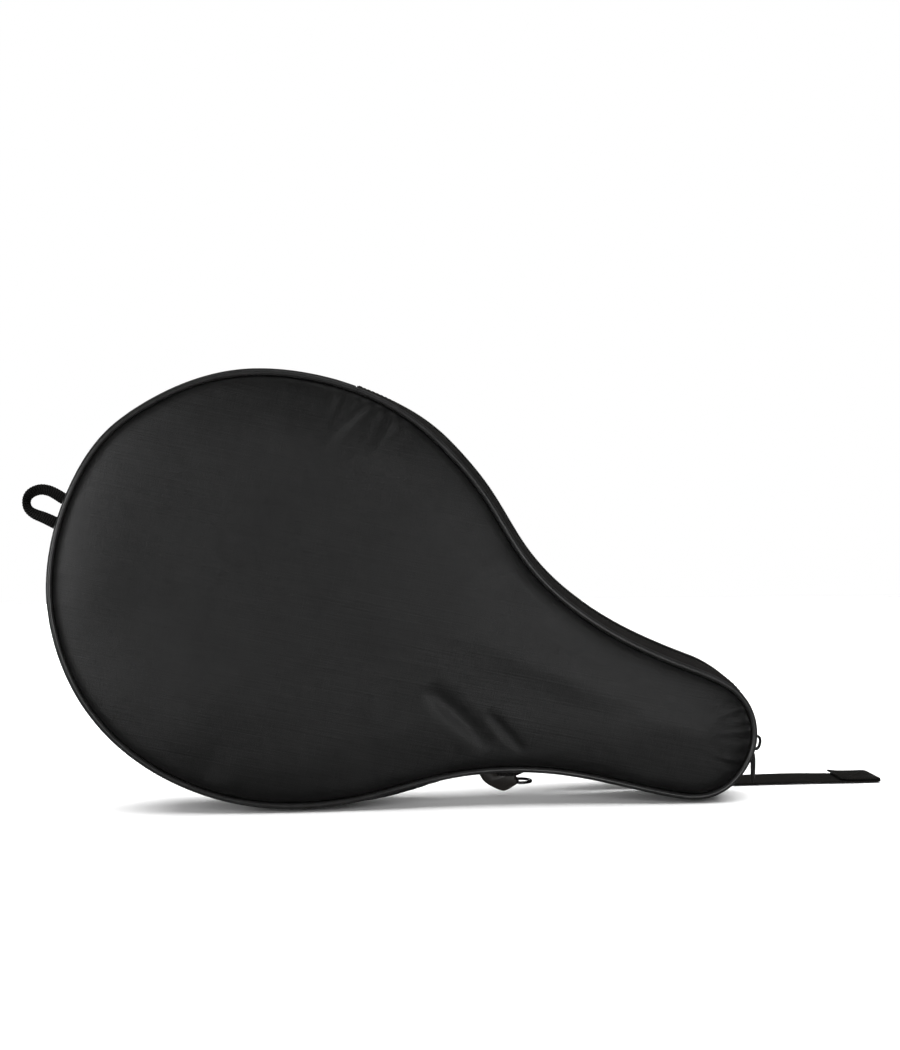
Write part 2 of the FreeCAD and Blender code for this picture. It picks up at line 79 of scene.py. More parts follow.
STRAP_WIDE, STRAP_THICK, TAIL_Y = 30.0, 1.6, 28.0
HANK_Y, HANK_Z = 30.8, 36.0
STRAP_LEFT, STRAP_TURN, STRAP_START, STRAP_TIP, TIP_FOLD = -172.0, 58.0, -88.0, 349.0, 30.0
# Where the strap turns flat. The solid strap starts at 140. Here it runs back to -3 first, which is
# a known fault.
TWIST_FROM, TWIST_TO = -3.0, 226.0
LAYER = 2.0
LOCK_X, LOCK_PITCH, LOCK_BAR, LOCK_OUT, LOCK_PLAY = 118.0, 12.0, 3.0, 3.9, 0.3
TAB_WIDTH = 25.0
# The tabs that hold the strap: name, left edge, strap layer under them, height of the seam there
STRAP_TABS = (("head", -125.0, 3, 12.0), ("neck", 61.0, 2, 24.0))
LOOP_ANCHOR = (-219.0, 199.0)
LOOP_Y = -17.0
RING_X, RING_Z, RING_WIDE, RING_ARM = 79.5, 12.6, 14.0, 2.5


def put(points):
    """Drawing-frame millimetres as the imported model's metres."""
    return (np.asarray(points, float) - BASE) * MM


def smoothstep(t):
    t = np.clip(t, 0, 1)
    return t * t * (3 - 2 * t)


# ------------------------------------------------------------------ the outline by arc length
class Outline:
    """Periodic cubic spline through the outline's points, read by distance along it."""

    def __init__(self, points):
        p = np.array(points, float)
        n = len(p)
        nxt = np.roll(p, -1, axis=0)
        h = np.linalg.norm(nxt - p, axis=1)
        a = np.zeros((n, n))
        b = np.zeros((n, 2))
        for i in range(n):
            before, after = (i - 1) % n, (i + 1) % n
            a[i, before] = h[before]
            a[i, i] = 2 * (h[before] + h[i])
            a[i, after] = h[i]
            b[i] = 6 * ((p[after] - p[i]) / h[i] - (p[i] - p[before]) / h[before])
        m = np.linalg.solve(a, b)
        dense = []
        for i in range(n):
            after = (i + 1) % n
            t = np.linspace(0, h[i], 160, endpoint=False)[:, None]
            r = h[i] - t
            dense.append(m[i] * r ** 3 / (6 * h[i]) + m[after] * t ** 3 / (6 * h[i])
                         + (p[i] / h[i] - m[i] * h[i] / 6) * r
                         + (p[after] / h[i] - m[after] * h[i] / 6) * t)
        dense = np.vstack(dense + [dense[0][:1]])
        step = np.linalg.norm(np.diff(dense, axis=0), axis=1)
        self.s = np.concatenate([[0], np.cumsum(step)])
        self.p = dense
        self.length = self.s[-1]
        self.tree = kdtree.KDTree(len(dense) - 1)
        for i, (x, z) in enumerate(dense[:-1]):
            self.tree.insert((x, z, 0), i)
        self.tree.balance()

    def at(self, s):
        s = np.asarray(s, float) % self.length
        return np.stack([np.interp(s, self.s, self.p[:, k]) for k in (0, 1)], -1)

    def frame(self, s):
        """Points and outward normals at distances s."""
        s = np.asarray(s, float)
        t = self.at(s + 0.4) - self.at(s - 0.4)
        t /= np.linalg.norm(t, axis=-1, keepdims=True)
        return self.at(s), np.stack([t[..., 1], -t[..., 0]], -1)

    def near(self, x, z):
        """(distance along, distance off) of the nearest point."""
        _, i, d = self.tree.find((x, z, 0))
        return self.s[i], d


END = [(END_X + END_R * math.cos(math.radians(a)), END_Z + END_R * math.sin(math.radians(a)))
       for a in END_ANGLES]
line = Outline(HEAD + LOWER_NECK + END + UPPER_NECK)


def end_point(angle, radius=END_R):
    a = math.radians(angle)
    return END_X + radius * math.cos(a), END_Z + radius * math.sin(a)


S_ZIP_TOP = line.near(*ZIP_START)[0]
S_ZIP_LOW = line.near(*end_point(ZIP_LOW_ANGLE))[0]
S_ZIP_HOLD = line.near(*end_point(ZIP_HOLD_ANGLE))[0]

def near_s(x, z):
    """Distance along the outline nearest to (x, z)."""
    return line.near(x, z)[0]


def past(s, origin=0.0):
    """How far s lies past origin along the outline, negative before it."""
    return (s - origin + line.length / 2) % line.length - line.length / 2


def drift(s, pitch, y, z):
    """Smooth noise along the outline."""
    return np.array([noise.noise(Vector((v / pitch, y, z))) for v in s])


zip_start = np.array(ZIP_START)
fold_along = np.array(end_point(ZIP_LOW_ANGLE)) - zip_start
fold_along /= np.linalg.norm(fold_along)
fold_out = np.array([-fold_along[1], fold_along[0]])
fold_from = zip_start - fold_out * FOLD_SHIFT
FOLD_HALF = 15.0
DEEP_FROM, DEEP_OVER = -3.0, 19.0
ZIP_EASE = 48.0


def flap_share(points, zip_side=False):
    """How far each point (drawing frame) follows the flap when the front folds forward."""
    p = np.asarray(points, float)
    across = (p[:, [0, 2]] - fold_from) @ fold_out
    ramp = smoothstep((across + FOLD_HALF) / (2 * FOLD_HALF))
    deep = smoothstep((DEEP_FROM - p[:, 1]) / DEEP_OVER)
    if zip_side:
        s = np.array([line.near(x, z)[0] for x, z in p[:, [0, 2]]])
        inside = np.minimum((s - S_ZIP_HOLD) % line.length, (S_ZIP_TOP - s) % line.length)
        open_length = (S_ZIP_TOP - S_ZIP_HOLD) % line.length
        is_open = ((s - S_ZIP_HOLD) % line.length) <= open_length
        ease = np.where(is_open, smoothstep(inside / ZIP_EASE), 0)
        deep = deep + (1 - deep) * ease
    return ramp * deep


# ------------------------------------------------------------------ mesh helpers
def piece(name, points, faces, material, body="case", nodes=(), finish=None, uv=None, share=None):
    """A closed mesh from drawing-frame points. With share it is baked in place and not attached to a
    body; the share values themselves are not used.
    """
    mesh = bpy.data.meshes.new(name)
    points = np.asarray(points, float)
    mesh.from_pydata([tuple(v) for v in put(points)], [], [tuple(int(i) for i in f) for f in faces])
    if uv is not None:
        layer = mesh.uv_layers.new(name="cloth")
        uv = np.asarray(uv, float) * MM
        index = np.zeros(len(mesh.loops), int)
        mesh.loops.foreach_get("vertex_index", index)
        layer.data.foreach_set("uv", uv[index].astype(np.float32).ravel())
    bm = bmesh.new()
    bm.from_mesh(mesh)
    bmesh.ops.recalc_face_normals(bm, faces=bm.faces)
    bm.to_mesh(mesh)
    bm.free()
    mesh.polygons.foreach_set("use_smooth", [True] * len(mesh.polygons))
    mesh.materials.append(material)
    obj = bpy.data.objects.new(name, mesh)
    bpy.context.scene.collection.objects.link(obj)
    if nodes:
        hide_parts(*nodes)
    if share is None:
        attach(obj, body)
    else:
        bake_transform(obj)
    return obj


def tube_faces(rows, cols, closed=False):
    """The quads between rings of cols points each, and a cap on both ends if it isn't closed."""
    faces = []
    for i in range(rows if closed else rows - 1):
        for j in range(cols):
            i2, j2 = (i + 1) % rows, (j + 1) % cols
            faces.append((i * cols + j, i * cols + j2, i2 * cols + j2, i2 * cols + j))
    if not closed:
        faces.append(tuple(range(cols)))
        faces.append(tuple(range((rows - 1) * cols, rows * cols))[::-1])
    return faces


def ring_angles(count, shift=0.0):
    return [2 * math.pi * (k + shift) / count for k in range(count)]


def squarish(angle, power):
    """The point at an angle of a rounded rectangle with half widths of 1."""
    c, s = math.cos(angle), math.sin(angle)
    return math.copysign(abs(c) ** power, c), math.copysign(abs(s) ** power, s)


def follow(s, offset, y, closed):
    """Points and faces of a band round the outline: offset and y are (stations, corners) arrays."""
    p, n = line.frame(s)
    x = p[:, :1] + n[:, :1] * offset
    z = p[:, 1:] + n[:, 1:] * offset
    points = np.stack([x, np.broadcast_to(y, x.shape), z], -1)
    return points.reshape(-1, 3), tube_faces(*x.shape, closed)


def all_round(pitch):
    """Even distances all the way round the outline."""
    count = int(line.length / pitch)
    return np.arange(count) * line.length / count


def stations(start, end, pitch):
    """Even distances from start to end, the way the outline runs."""
    length = (end - start) % line.length
    return start + np.linspace(0, length, max(3, int(length / pitch) + 1))


def chaikin(points, rounds=3):
    p = np.asarray(points, float)
    for _ in range(rounds):
        a = p[:-1] * 0.75 + p[1:] * 0.25
        b = p[:-1] * 0.25 + p[1:] * 0.75
        p = np.vstack([p[:1], np.stack([a, b], 1).reshape(-1, p.shape[1]), p[-1:]])
    return p


def even(points, pitch):
    """The same line with points at an even pitch."""
    p = np.asarray(points, float)
    s = np.concatenate([[0], np.cumsum(np.linalg.norm(np.diff(p, axis=0), axis=1))])
    t = np.linspace(0, s[-1], max(4, int(s[-1] / pitch)))
    return np.stack([np.interp(t, s, p[:, k]) for k in range(p.shape[1])], -1)


def ribbon(centre, across, thick, half_wide, rib=None, flat_points=9):
    """Webbing along centre, its width along the vectors across, with rounded edges."""
    t = np.gradient(centre, axis=0)
    t /= np.linalg.norm(t, axis=1, keepdims=True)
    w = across - t * np.sum(across * t, axis=1, keepdims=True)
    w /= np.linalg.norm(w, axis=1, keepdims=True)
    up = np.cross(t, w)
    r = thick / 2
    u = np.linspace(-1, 1, flat_points) * (half_wide - r)
    corner = [math.pi / 2 - math.pi * i / 4 for i in range(1, 4)]
    section = [(a, r) for a in u]
    section += [(half_wide - r + r * math.cos(c), r * math.sin(c)) for c in corner]
    section += [(a, -r) for a in u[::-1]]
    section += [(-half_wide + r - r * math.cos(c), -r * math.sin(c)) for c in corner]
    section = np.array(section)
    count = len(centre)
    length = np.concatenate([[0], np.cumsum(np.linalg.norm(np.diff(centre, axis=0), axis=1))])
    swell = np.zeros((count, len(section)))
    if rib is not None:
        swell = rib(length)[:, None] * np.ones(len(section))
    grow = 1 + swell / r
    pts = (centre[:, None] + w[:, None] * (section[:, 0] * (1 + swell * 0.12 / r))[..., None]
           + up[:, None] * (section[:, 1] * grow)[..., None])
    uv = np.stack([np.repeat(length[:, None], len(section), 1),
                   np.tile(section[:, 0] + half_wide, (count, 1))], -1)
    return pts.reshape(-1, 3), tube_faces(count, len(section)), uv.reshape(-1, 2)


def join(parts):
    """Several (points, faces) in one."""
    points, faces, first = [], [], 0
    for p, f in parts:
        points.append(np.asarray(p, float))
        faces += [tuple(first + i for i in face) for face in f]
        first += len(p)
    return np.vstack(points), faces


def stitch(centre, along, out, long, wide, high):
    """A small pod from end to end."""
    side = np.cross(along, out)
    rings = []
    for t, k in ((-0.5, 0.25), (-0.36, 0.8), (0, 1.0), (0.36, 0.8), (0.5, 0.25)):
        for a in ring_angles(6):
            rings.append(centre + along * (t * long) + side * (math.cos(a) * wide / 2 * k)
                         + out * (math.sin(a) * high / 2 * k))
    return np.array(rings), tube_faces(5, 6)


def bevel(obj, width):
    mod = obj.modifiers.new("edges", "BEVEL")
    mod.width = width * MM
    mod.segments = 3
    mod.limit_method = "ANGLE"
    mod.angle_limit = math.radians(35)


# ------------------------------------------------------------------ materials
def material(name):
    mat = bpy.data.materials.new(name)
    mat.use_nodes = True
    tree = mat.node_tree
    return mat, tree, tree.nodes["Principled BSDF"]


class Nodes:
    """Short forms for wiring a material."""

    def __init__(self, tree):
        self.tree = tree

    def new(self, kind, **values):
        node = self.tree.nodes.new(kind)
        for key, value in values.items():
            setattr(node, key, value)
        return node

    def link(self, a, b):
        self.tree.links.new(a, b)

    def math(self, op, a, b=None, c=None):
        node = self.new("ShaderNodeMath", operation=op)
        for i, v in enumerate((a, b, c)):
            if v is None:
                continue
            if isinstance(v, (int, float)):
                node.inputs[i].default_value = v
            else:
                self.link(v, node.inputs[i])
        return node.outputs[0]

    def blend(self, *terms):
        """The sum of (value, weight) pairs."""
        total = None
        for value, weight in terms:
            part = self.math("MULTIPLY", value, weight)
            total = part if total is None else self.math("ADD", total, part)
        return total

    def coords(self, which="Object"):
        return self.new("ShaderNodeTexCoord").outputs[which]

    def xyz(self, vector):
        node = self.new("ShaderNodeSeparateXYZ")
        self.link(vector, node.inputs[0])
        return node.outputs

    def mapping(self, vector, rotation=(0, 0, 0), scale=(1, 1, 1)):
        node = self.new("ShaderNodeMapping")
        node.inputs["Rotation"].default_value = rotation
        node.inputs["Scale"].default_value = scale
        self.link(vector, node.inputs["Vector"])
        return node.outputs[0]

    def noise(self, vector, scale, detail=2.0, rough=0.5):
        node = self.new("ShaderNodeTexNoise")
        node.inputs["Scale"].default_value = scale
        node.inputs["Detail"].default_value = detail
        node.inputs["Roughness"].default_value = rough
        self.link(vector, node.inputs["Vector"])
        return node.outputs["Fac"]

    def sine(self, value, period):
        """A wave from 0 to 1 with that period, in the value's own unit."""
        wave = self.math("SINE", self.math("MULTIPLY", value, 2 * math.pi / period))
        return self.math("MULTIPLY_ADD", wave, 0.5, 0.5)

    def spread(self, value, low, high):
        """0..1 to low..high."""
        node = self.new("ShaderNodeMapRange")
        self.link(value, node.inputs["Value"])
        node.inputs["To Min"].default_value = low
        node.inputs["To Max"].default_value = high
        return node.outputs[0]

    def ramp(self, value, dark, light, low=0.0, high=1.0):
        node = self.new("ShaderNodeValToRGB")
        node.color_ramp.elements[0].position = low
        node.color_ramp.elements[1].position = high
        node.color_ramp.elements[0].color = (*dark, 1)
        node.color_ramp.elements[1].color = (*light, 1)
        self.link(value, node.inputs[0])
        return node.outputs["Color"]

    def bump(self, height, distance, strength=1.0, under=None):
        node = self.new("ShaderNodeBump")
        node.inputs["Strength"].default_value = strength
        node.inputs["Distance"].default_value = distance
        self.link(height, node.inputs["Height"])
        if under is not None:
            self.link(under, node.inputs["Normal"])
        return node.outputs[0]


def nylon(name, dark, light, rough, thread=0.42, angle=-12.0, specular=0.5, relief=1.0):
    """Plain-woven cloth: two sets of threads, uneven as real yarn is."""
    mat, tree, bsdf = material(name)
    n = Nodes(tree)
    turned = n.mapping(n.coords(), rotation=(0, math.radians(angle), 0))
    x, y, z = n.xyz(turned)
    depth = n.math("ADD", z, n.math("MULTIPLY", y, 0.7))
    run = n.math("ADD", x, n.math("MULTIPLY", y, 0.7))
    warp = n.sine(run, thread * MM)
    weft = n.sine(depth, thread * 0.8 * MM)
    yarn = n.noise(n.mapping(turned, scale=(18, 60, 900)), 1.0, 2.0, 0.6)
    slub = n.noise(n.mapping(turned, scale=(900, 60, 14)), 1.0, 1.0, 0.5)
    blotch = n.noise(n.coords(), 55.0, 4.0, 0.6)
    weave = n.math("MULTIPLY", warp, weft)
    lines = n.blend((yarn, 0.7), (slub, 0.3))
    tone = n.blend((lines, 0.6), (blotch, 0.4))
    n.link(n.ramp(tone, dark, light, 0.3, 0.7), bsdf.inputs["Base Color"])
    n.link(n.spread(n.blend((lines, 0.7), (blotch, 0.3)), rough - 0.09, rough + 0.09),
           bsdf.inputs["Roughness"])
    fine = n.bump(weave, 0.00006 * relief, 0.5)
    streak = n.bump(lines, 0.00016 * relief, 0.7, under=fine)
    n.link(streak, bsdf.inputs["Normal"])
    bsdf.inputs["Specular IOR Level"].default_value = specular
    return mat


def webbing_material(name, dark, light, rib=1.5, herringbone=True):
    """Woven webbing read along and across its own length."""
    mat, tree, bsdf = material(name)
    n = Nodes(tree)
    along, across, _ = n.xyz(n.coords("UV"))
    slant = along
    if herringbone:
        stripe = 5.0 * MM
        part = n.math("FRACT", n.math("DIVIDE", across, stripe))
        half = n.math("ABSOLUTE", n.math("SUBTRACT", part, 0.5))
        slant = n.math("ADD", along, n.math("MULTIPLY", half, stripe))
    ribs = n.sine(slant, rib * MM)
    cords = n.sine(across, 0.75 * MM)
    fuzz = n.noise(n.coords(), 2600.0, 2.0, 0.6)
    wear = n.noise(n.coords(), 60.0, 3.0, 0.6)
    weave = n.blend((ribs, 0.7), (cords, 0.3))
    tone = n.blend((weave, 0.55), (fuzz, 0.25), (wear, 0.2))
    n.link(n.ramp(tone, dark, light, 0.25, 0.8), bsdf.inputs["Base Color"])
    n.link(n.spread(wear, 0.62, 0.82), bsdf.inputs["Roughness"])
    fine = n.bump(fuzz, 0.00012, 0.5)
    n.link(n.bump(weave, 0.00035, 0.8, under=fine), bsdf.inputs["Normal"])
    bsdf.inputs["Specular IOR Level"].default_value = 0.14
    return mat


def moulded(name, dark, light, rough, grain=900.0, depth=0.00004, specular=0.5, coat=0.0):
    """Vinyl, moulded plastic, enamel or foam: a fine grain and slight wear."""
    mat, tree, bsdf = material(name)
    n = Nodes(tree)
    fine = n.noise(n.coords(), grain, 3.0, 0.6)
    wear = n.noise(n.coords(), 120.0, 4.0, 0.65)
    n.link(n.ramp(wear, dark, light, 0.35, 0.7), bsdf.inputs["Base Color"])
    n.link(n.spread(n.blend((fine, 0.4), (wear, 0.6)), rough - 0.1, rough + 0.1),
           bsdf.inputs["Roughness"])
    n.link(n.bump(fine, depth, 0.6), bsdf.inputs["Normal"])
    bsdf.inputs["Specular IOR Level"].default_value = specular
    bsdf.inputs["Coat Weight"].default_value = coat
    bsdf.inputs["Coat Roughness"].default_value = 0.15
    return mat


def grey(v, warm=0.0):
    return (v * (1 + warm), v, v * (1 - warm))


SHELL = nylon("satin_nylon", grey(0.0022), grey(0.0052), 0.34, relief=1.4)
WALL_CLOTH = nylon("wall_nylon", grey(0.0035, 0.06), grey(0.0075, 0.06), 0.52, angle=8.0)
TAB_CLOTH = nylon("tab_nylon", grey(0.007, 0.18), grey(0.014, 0.18), 0.30, angle=20.0, specular=0.8)
LINER = nylon("lining_cloth", grey(0.016), grey(0.026), 0.62, thread=0.7, angle=0.0, relief=1.6)
PIPING = moulded("piping_vinyl", grey(0.009), grey(0.013), 0.30, 2500.0, 0.000004, 0.6)
FOAM = moulded("foam_sheet", grey(0.05), grey(0.085), 0.9, 1500.0, 0.0004, 0.2)
BINDING = webbing_material("binding_grosgrain", grey(0.008), grey(0.017), 0.9, herringbone=False)
ZIP_TAPE = webbing_material("zip_tape_weave", grey(0.004, 0.12), grey(0.010, 0.12), 0.8)
COIL = moulded("coil_nylon", grey(0.007, 0.05), grey(0.013, 0.05), 0.34, 500.0, 0.00002)
ENAMEL = moulded("black_enamel", grey(0.007, 0.04), grey(0.012, 0.04), 0.24, 600.0, 0.000015,
                 coat=0.35)
RING_ENAMEL = moulded("ring_enamel", grey(0.006), grey(0.010), 0.26, 600.0, 0.000015, coat=0.3)
ACETAL = moulded("moulded_acetal", grey(0.008), grey(0.013), 0.42, 1100.0, 0.00003)
WEBBING = webbing_material("strap_webbing", grey(0.0012, 0.08), grey(0.0080, 0.08), 1.9)
LOOP_WEBBING = webbing_material("loop_webbing", grey(0.0012, 0.05), grey(0.0085, 0.05),
                                herringbone=False)
THREAD = moulded("sewing_thread", grey(0.006), grey(0.012), 0.5, 2200.0, 0.00006)

# ------------------------------------------------------------------ covers
random.seed(11)


def seam_puckers():
    """Gathers along the seam: small ones everywhere, stronger ones at the top and the handle end.

    Each is (distance along, length, half width, height, lean).
    """
    out = []
    s = 0.0
    while s < line.length:
        s += random.uniform(5.0, 10.0)
        out.append((s, random.uniform(4, 11), random.uniform(1.4, 2.6),
                    random.uniform(-0.16, 0.16), random.uniform(-0.25, 0.25)))
    top = near_s(-44, 280)
    for ds, length, width, height, lean in (
            (0, 16, 2.8, 0.8, 0.1), (6, 10, 2.0, -0.5, 0), (11, 15, 2.8, 0.8, -0.1),
            (-9, 22, 3.2, -1.4, 0.2), (-17, 26, 3.2, 1.7, 0.3), (-21, 20, 2.0, -1.0, 0.35),
            (-26, 22, 2.8, 1.7, 0.5), (-31, 13, 2.2, -1.1, 0.4), (-35, 10, 1.8, 0.8, 0.5),
            (-39, 18, 2.8, -1.3, 0), (-44, 18, 2.4, 1.4, 0), (-50, 12, 2.4, -0.5, 0),
            (-56, 14, 2.2, 0.35, 0.15), (-63, 14, 2.4, -0.3, 0.1), (24, 16, 2.6, -0.6, 0),
            (31, 13, 2.6, 0.5, 0)):
        out.append((top + ds, length, width, height, lean))
    end = near_s(END_X + END_R, END_Z)
    place, sign = -27.0, 1
    while place < 30:
        out.append((end + place, random.uniform(8, 20), random.uniform(1.1, 1.6),
                    sign * random.uniform(0.7, 1.3),
                    math.sin(place / END_R) + random.uniform(-0.12, 0.12)))
        place += random.uniform(3.4, 6.2)
        sign = -sign
    left = near_s(-226, 165)
    for ds, length, width, height in ((-20, 10, 2.5, 0.3), (-12, 7, 2, -0.3), (6, 9, 2.2, 0.35),
                                      (14, 12, 3, -0.25)):
        out.append((left + ds, length, width, height, 0.0))
    low = near_s(-120, 11)
    for ds, length, width, height in ((-18, 26, 9, -0.5), (0, 30, 8, 0.5), (20, 24, 7, -0.35)):
        out.append((low + ds, length, width, height, 0.1))
    return out


PUCKERS = seam_puckers()

# Full places in the front cover: centre, half widths and height
SWELLS = [((-125, 74), (42, 32), 1.9), ((-62, 232), (60, 36), 1.6)]

# Creases across the cover: a line, then its half width and height
CREASES = [
    ([(14, 82), (37, 63), (58, 40)], 6.2, -2.3),
    ([(54, 65), (67, 52), (80, 37)], 3.4, -1.3),
    ([(-22, 86), (-20, 62), (-12, 36)], 7.0, 0.22),
    ([(20, 120), (60, 108), (110, 84), (150, 66)], 10.0, 0.7),
    ([(40, 150), (80, 128), (120, 104)], 9.0, -0.5),
    ([(70, 178), (86, 160), (104, 146)], 5.0, -0.8),
    ([(60, 170), (78, 150), (98, 134)], 6.0, 0.7),
    ([(150, 60), (185, 52), (214, 48)], 9.0, 0.6),
]


def distance_to(path, x, z):
    """Distance from points to a bent line, and how far along it they fall, 0 to 1."""
    path = chaikin(np.array(path, float), 2)
    best = np.full(x.shape, 1e9)
    part = np.zeros(x.shape)
    count = len(path) - 1
    for i in range(count):
        a, b = path[i], path[i + 1]
        d = b - a
        t = np.clip(((x - a[0]) * d[0] + (z - a[1]) * d[1]) / (d @ d), 0, 1)
        dist = np.hypot(x - a[0] - d[0] * t, z - a[1] - d[1] * t)
        closer = dist < best
        best = np.where(closer, dist, best)
        part = np.where(closer, (i + t) / count, part)
    return best, part


def soft_noise(x, z, scale, seed):
    return np.array([noise.noise(Vector((a / scale + seed, b / scale - seed, seed * 0.37)))
                     for a, b in zip(x, z)])


# A cover's profile: a short round edge, then a long low crown
EDGE_RISE, EDGE_RUN = 3.3, 2.4
CROWN_RISE, CROWN_RUN = 3.1, 40.0


def crown(d):
    """How far a cover stands out from the middle plane, by its distance inside the outline."""
    d = np.maximum(d - COVER_IN, 0)
    edge = EDGE_RISE * (1 - np.exp(-d / EDGE_RUN))
    return SEAM + 0.1 + edge + CROWN_RISE * (1 - (1 - np.minimum(d / CROWN_RUN, 1)) ** 2)


def relief(x, z, s, d, side):
    """Folds and soft waves on a cover."""
    edge = smoothstep((d - COVER_IN) / 3.0)
    out = 0.9 * soft_noise(x, z, 85.0, 3.1 + side) * smoothstep((d - 4) / 26)
    out += 0.35 * soft_noise(x, z, 32.0, 7.7 + side) * smoothstep((d - 3) / 14)
    out += 0.05 * soft_noise(x, z, 7.0, 1.3 + side) * edge
    for at, length, width, height, lean in PUCKERS:
        ds = past(s - at - lean * d)
        close = np.abs(ds) < 5 * width
        w = width * (1 + d[close] / (2.2 * length))
        bump = (height if side < 0 else height * 0.6) * np.exp(-(ds[close] / w) ** 2)
        out[close] += bump * np.exp(-(d[close] / length) ** 1.4) * edge[close]
    if side < 0:
        for (cx, cz), (wide, tall), height in SWELLS:
            out += height * np.exp(-((x - cx) / wide) ** 2 - ((z - cz) / tall) ** 2) * edge
        for path, half, height in CREASES:
            dist, part = distance_to(path, x, z)
            fade = np.sin(math.pi * np.clip(part, 0.0, 1.0)) ** 1.3
            out += height * np.exp(-(dist / half) ** 2) * fade * edge
    return out


def layer(side, inset, level, thick, pitch, rings):
    """One cover layer: rings along its edge, a lattice inside, both skins and a rim.

    level is how far its outer skin lies under the cover's.
    """
    flat = []
    ring_s = all_round(pitch)
    for k, extra in enumerate(rings):
        p, n = line.frame(ring_s + (k % 2) * pitch / 2)
        flat.append(p - n * (inset + extra))
    border = len(ring_s)
    low, high = flat[0].min(axis=0), flat[0].max(axis=0)
    gap = inset + rings[-1] + 0.75 * pitch
    inside = []
    for i, z in enumerate(np.arange(low[1], high[1], pitch * 0.866)):
        for x in np.arange(low[0] + (i % 2) * pitch / 2, high[0], pitch):
            s, d = line.near(x, z)
            if d < gap:
                continue
            p, n = line.frame(s)
            if (x - p[0]) * n[0] + (z - p[1]) * n[1] < 0:
                inside.append((x, z))
    flat = np.vstack(flat + [np.array(inside)])
    rim = [(i, (i + 1) % border) for i in range(border)]
    result = delaunay_2d_cdt([Vector(p) for p in flat], rim, [list(range(border))], 1, 1e-4)
    xz = np.array([tuple(v) for v in result[0]])
    tris = [tuple(f) for f in result[2]]
    sd = np.array([line.near(x, z) for x, z in xz])
    s, d = sd[:, 0], sd[:, 1]
    stand = crown(d) - level + relief(xz[:, 0], xz[:, 1], s, d, side)
    outer = np.stack([xz[:, 0], side * stand, xz[:, 1]], -1)
    inner = np.stack([xz[:, 0], side * (stand - thick), xz[:, 1]], -1)
    count = len(xz)
    edges = {}
    for f in tris:
        for a, b in zip(f, f[1:] + f[:1]):
            edges[(a, b)] = edges.get((a, b), 0) + 1
    rim = [(a, b) for a, b in edges if (b, a) not in edges]
    faces = list(tris) + [tuple(i + count for i in f[::-1]) for f in tris]
    faces += [(b, a, a + count, b + count) for a, b in rim]
    return np.vstack([outer, inner]), faces


FINE = 2.0
COARSE = 5.0
FINE_RINGS = (0, 0.7, 1.5, 2.5, 3.8, 5.4)

# Layer, cloth, finish, solid, pitches front and back, then (inset, level, thickness), edge rings
LAYERS = (
    ("panel", SHELL, "shell_fabric", "cover", (FINE, FINE * 1.3), (COVER_IN, 0.0, 0.8), FINE_RINGS),
    ("padding", FOAM, "pad_foam", "foam", (COARSE, COARSE), (7.0, 1.2, 2.7), (0, 3.0)),
    ("liner", LINER, "lining_fabric", "lining", (COARSE, COARSE), (6.8, 4.15, 0.5), (0, 2.4)),
)


def both_sides(solid):
    """Side, name and solids of a layer's two halves. The front's solids are cut at the fold."""
    return ((-1, "front", ("front_" + solid, "flap_" + solid)), (1, "back", ("back_" + solid,)))


def front_share(side, points):
    return flap_share(points) if side < 0 else None


def make_covers():
    for kind, cloth, finish, solid, pitches, measures, rings in LAYERS:
        for (side, name, nodes), pitch in zip(both_sides(solid), pitches):
            points, faces = layer(side, *measures, pitch, rings)
            obj = piece(f"{name}_{kind}", points, faces, cloth, nodes=nodes, finish=finish,
                        share=front_share(side, points))


# ------------------------------------------------------------------ piping and seam tape
TAPE_SECTION = np.array([(-6.5, 23.4), (-3.8, 23.4), (-3.6, 22.8), (-3.7, 22.1), (-5.0, 22.0),
                         (-6.5, 22.1), (-6.7, 22.8)])
TAPE_ACROSS = [0, 2.7, 3.4, 4.1, 5.4, 6.9, 7.5]


def make_piping():
    s = all_round(2.0)
    sides = 16
    a = np.arange(sides) * 2 * math.pi / sides
    for side, name, nodes in both_sides("piping"):
        wobble = drift(s, 23.0, side * 5.0, 0.5)
        swell = drift(s, 9.0, side * 9.0, 2.5)
        r = (PIPING_R + 0.03 * swell)[:, None]
        offset = 0.06 * wobble[:, None] + r * np.cos(a)
        y = side * SEAM + r * np.sin(a)
        points, faces = follow(s, offset, y, True)
        uv = np.stack([np.repeat(s, sides), np.tile(a * 2, len(s))], -1)
        piece(name + "_cord", points, faces, PIPING, nodes=nodes, finish="piping_vinyl", uv=uv,
              share=front_share(side, points))
    s = all_round(3.0)
    for side, name, nodes in both_sides("binding"):
        offset = np.tile(TAPE_SECTION[:, 0], (len(s), 1))
        y = np.tile(TAPE_SECTION[:, 1] * side, (len(s), 1))
        points, faces = follow(s, offset, y, True)
        uv = np.stack([np.repeat(s, len(TAPE_SECTION)), np.tile(TAPE_ACROSS, len(s))], -1)
        piece(name + "_seam_tape", points, faces, BINDING, nodes=nodes, finish="binding_tape",
              uv=uv, share=front_share(side, points))


# ------------------------------------------------------------------ side wall
WALL_EDGE = SEAM - PIPING_R + 0.5
# Between the zip's ends and the wall's
ZIP_GAP = 0.4
# The wall's slack cloth under the neck
SLACK_AT, SLACK_OUT, SLACK_RUN = (-4, 14), 3.0, 34.0


def wall_rise(y):
    """How far the wall bows out at depth y."""
    return 0.1 + (BULGE - 0.1) * (1 - np.abs(y / WALL_EDGE) ** 2.6)


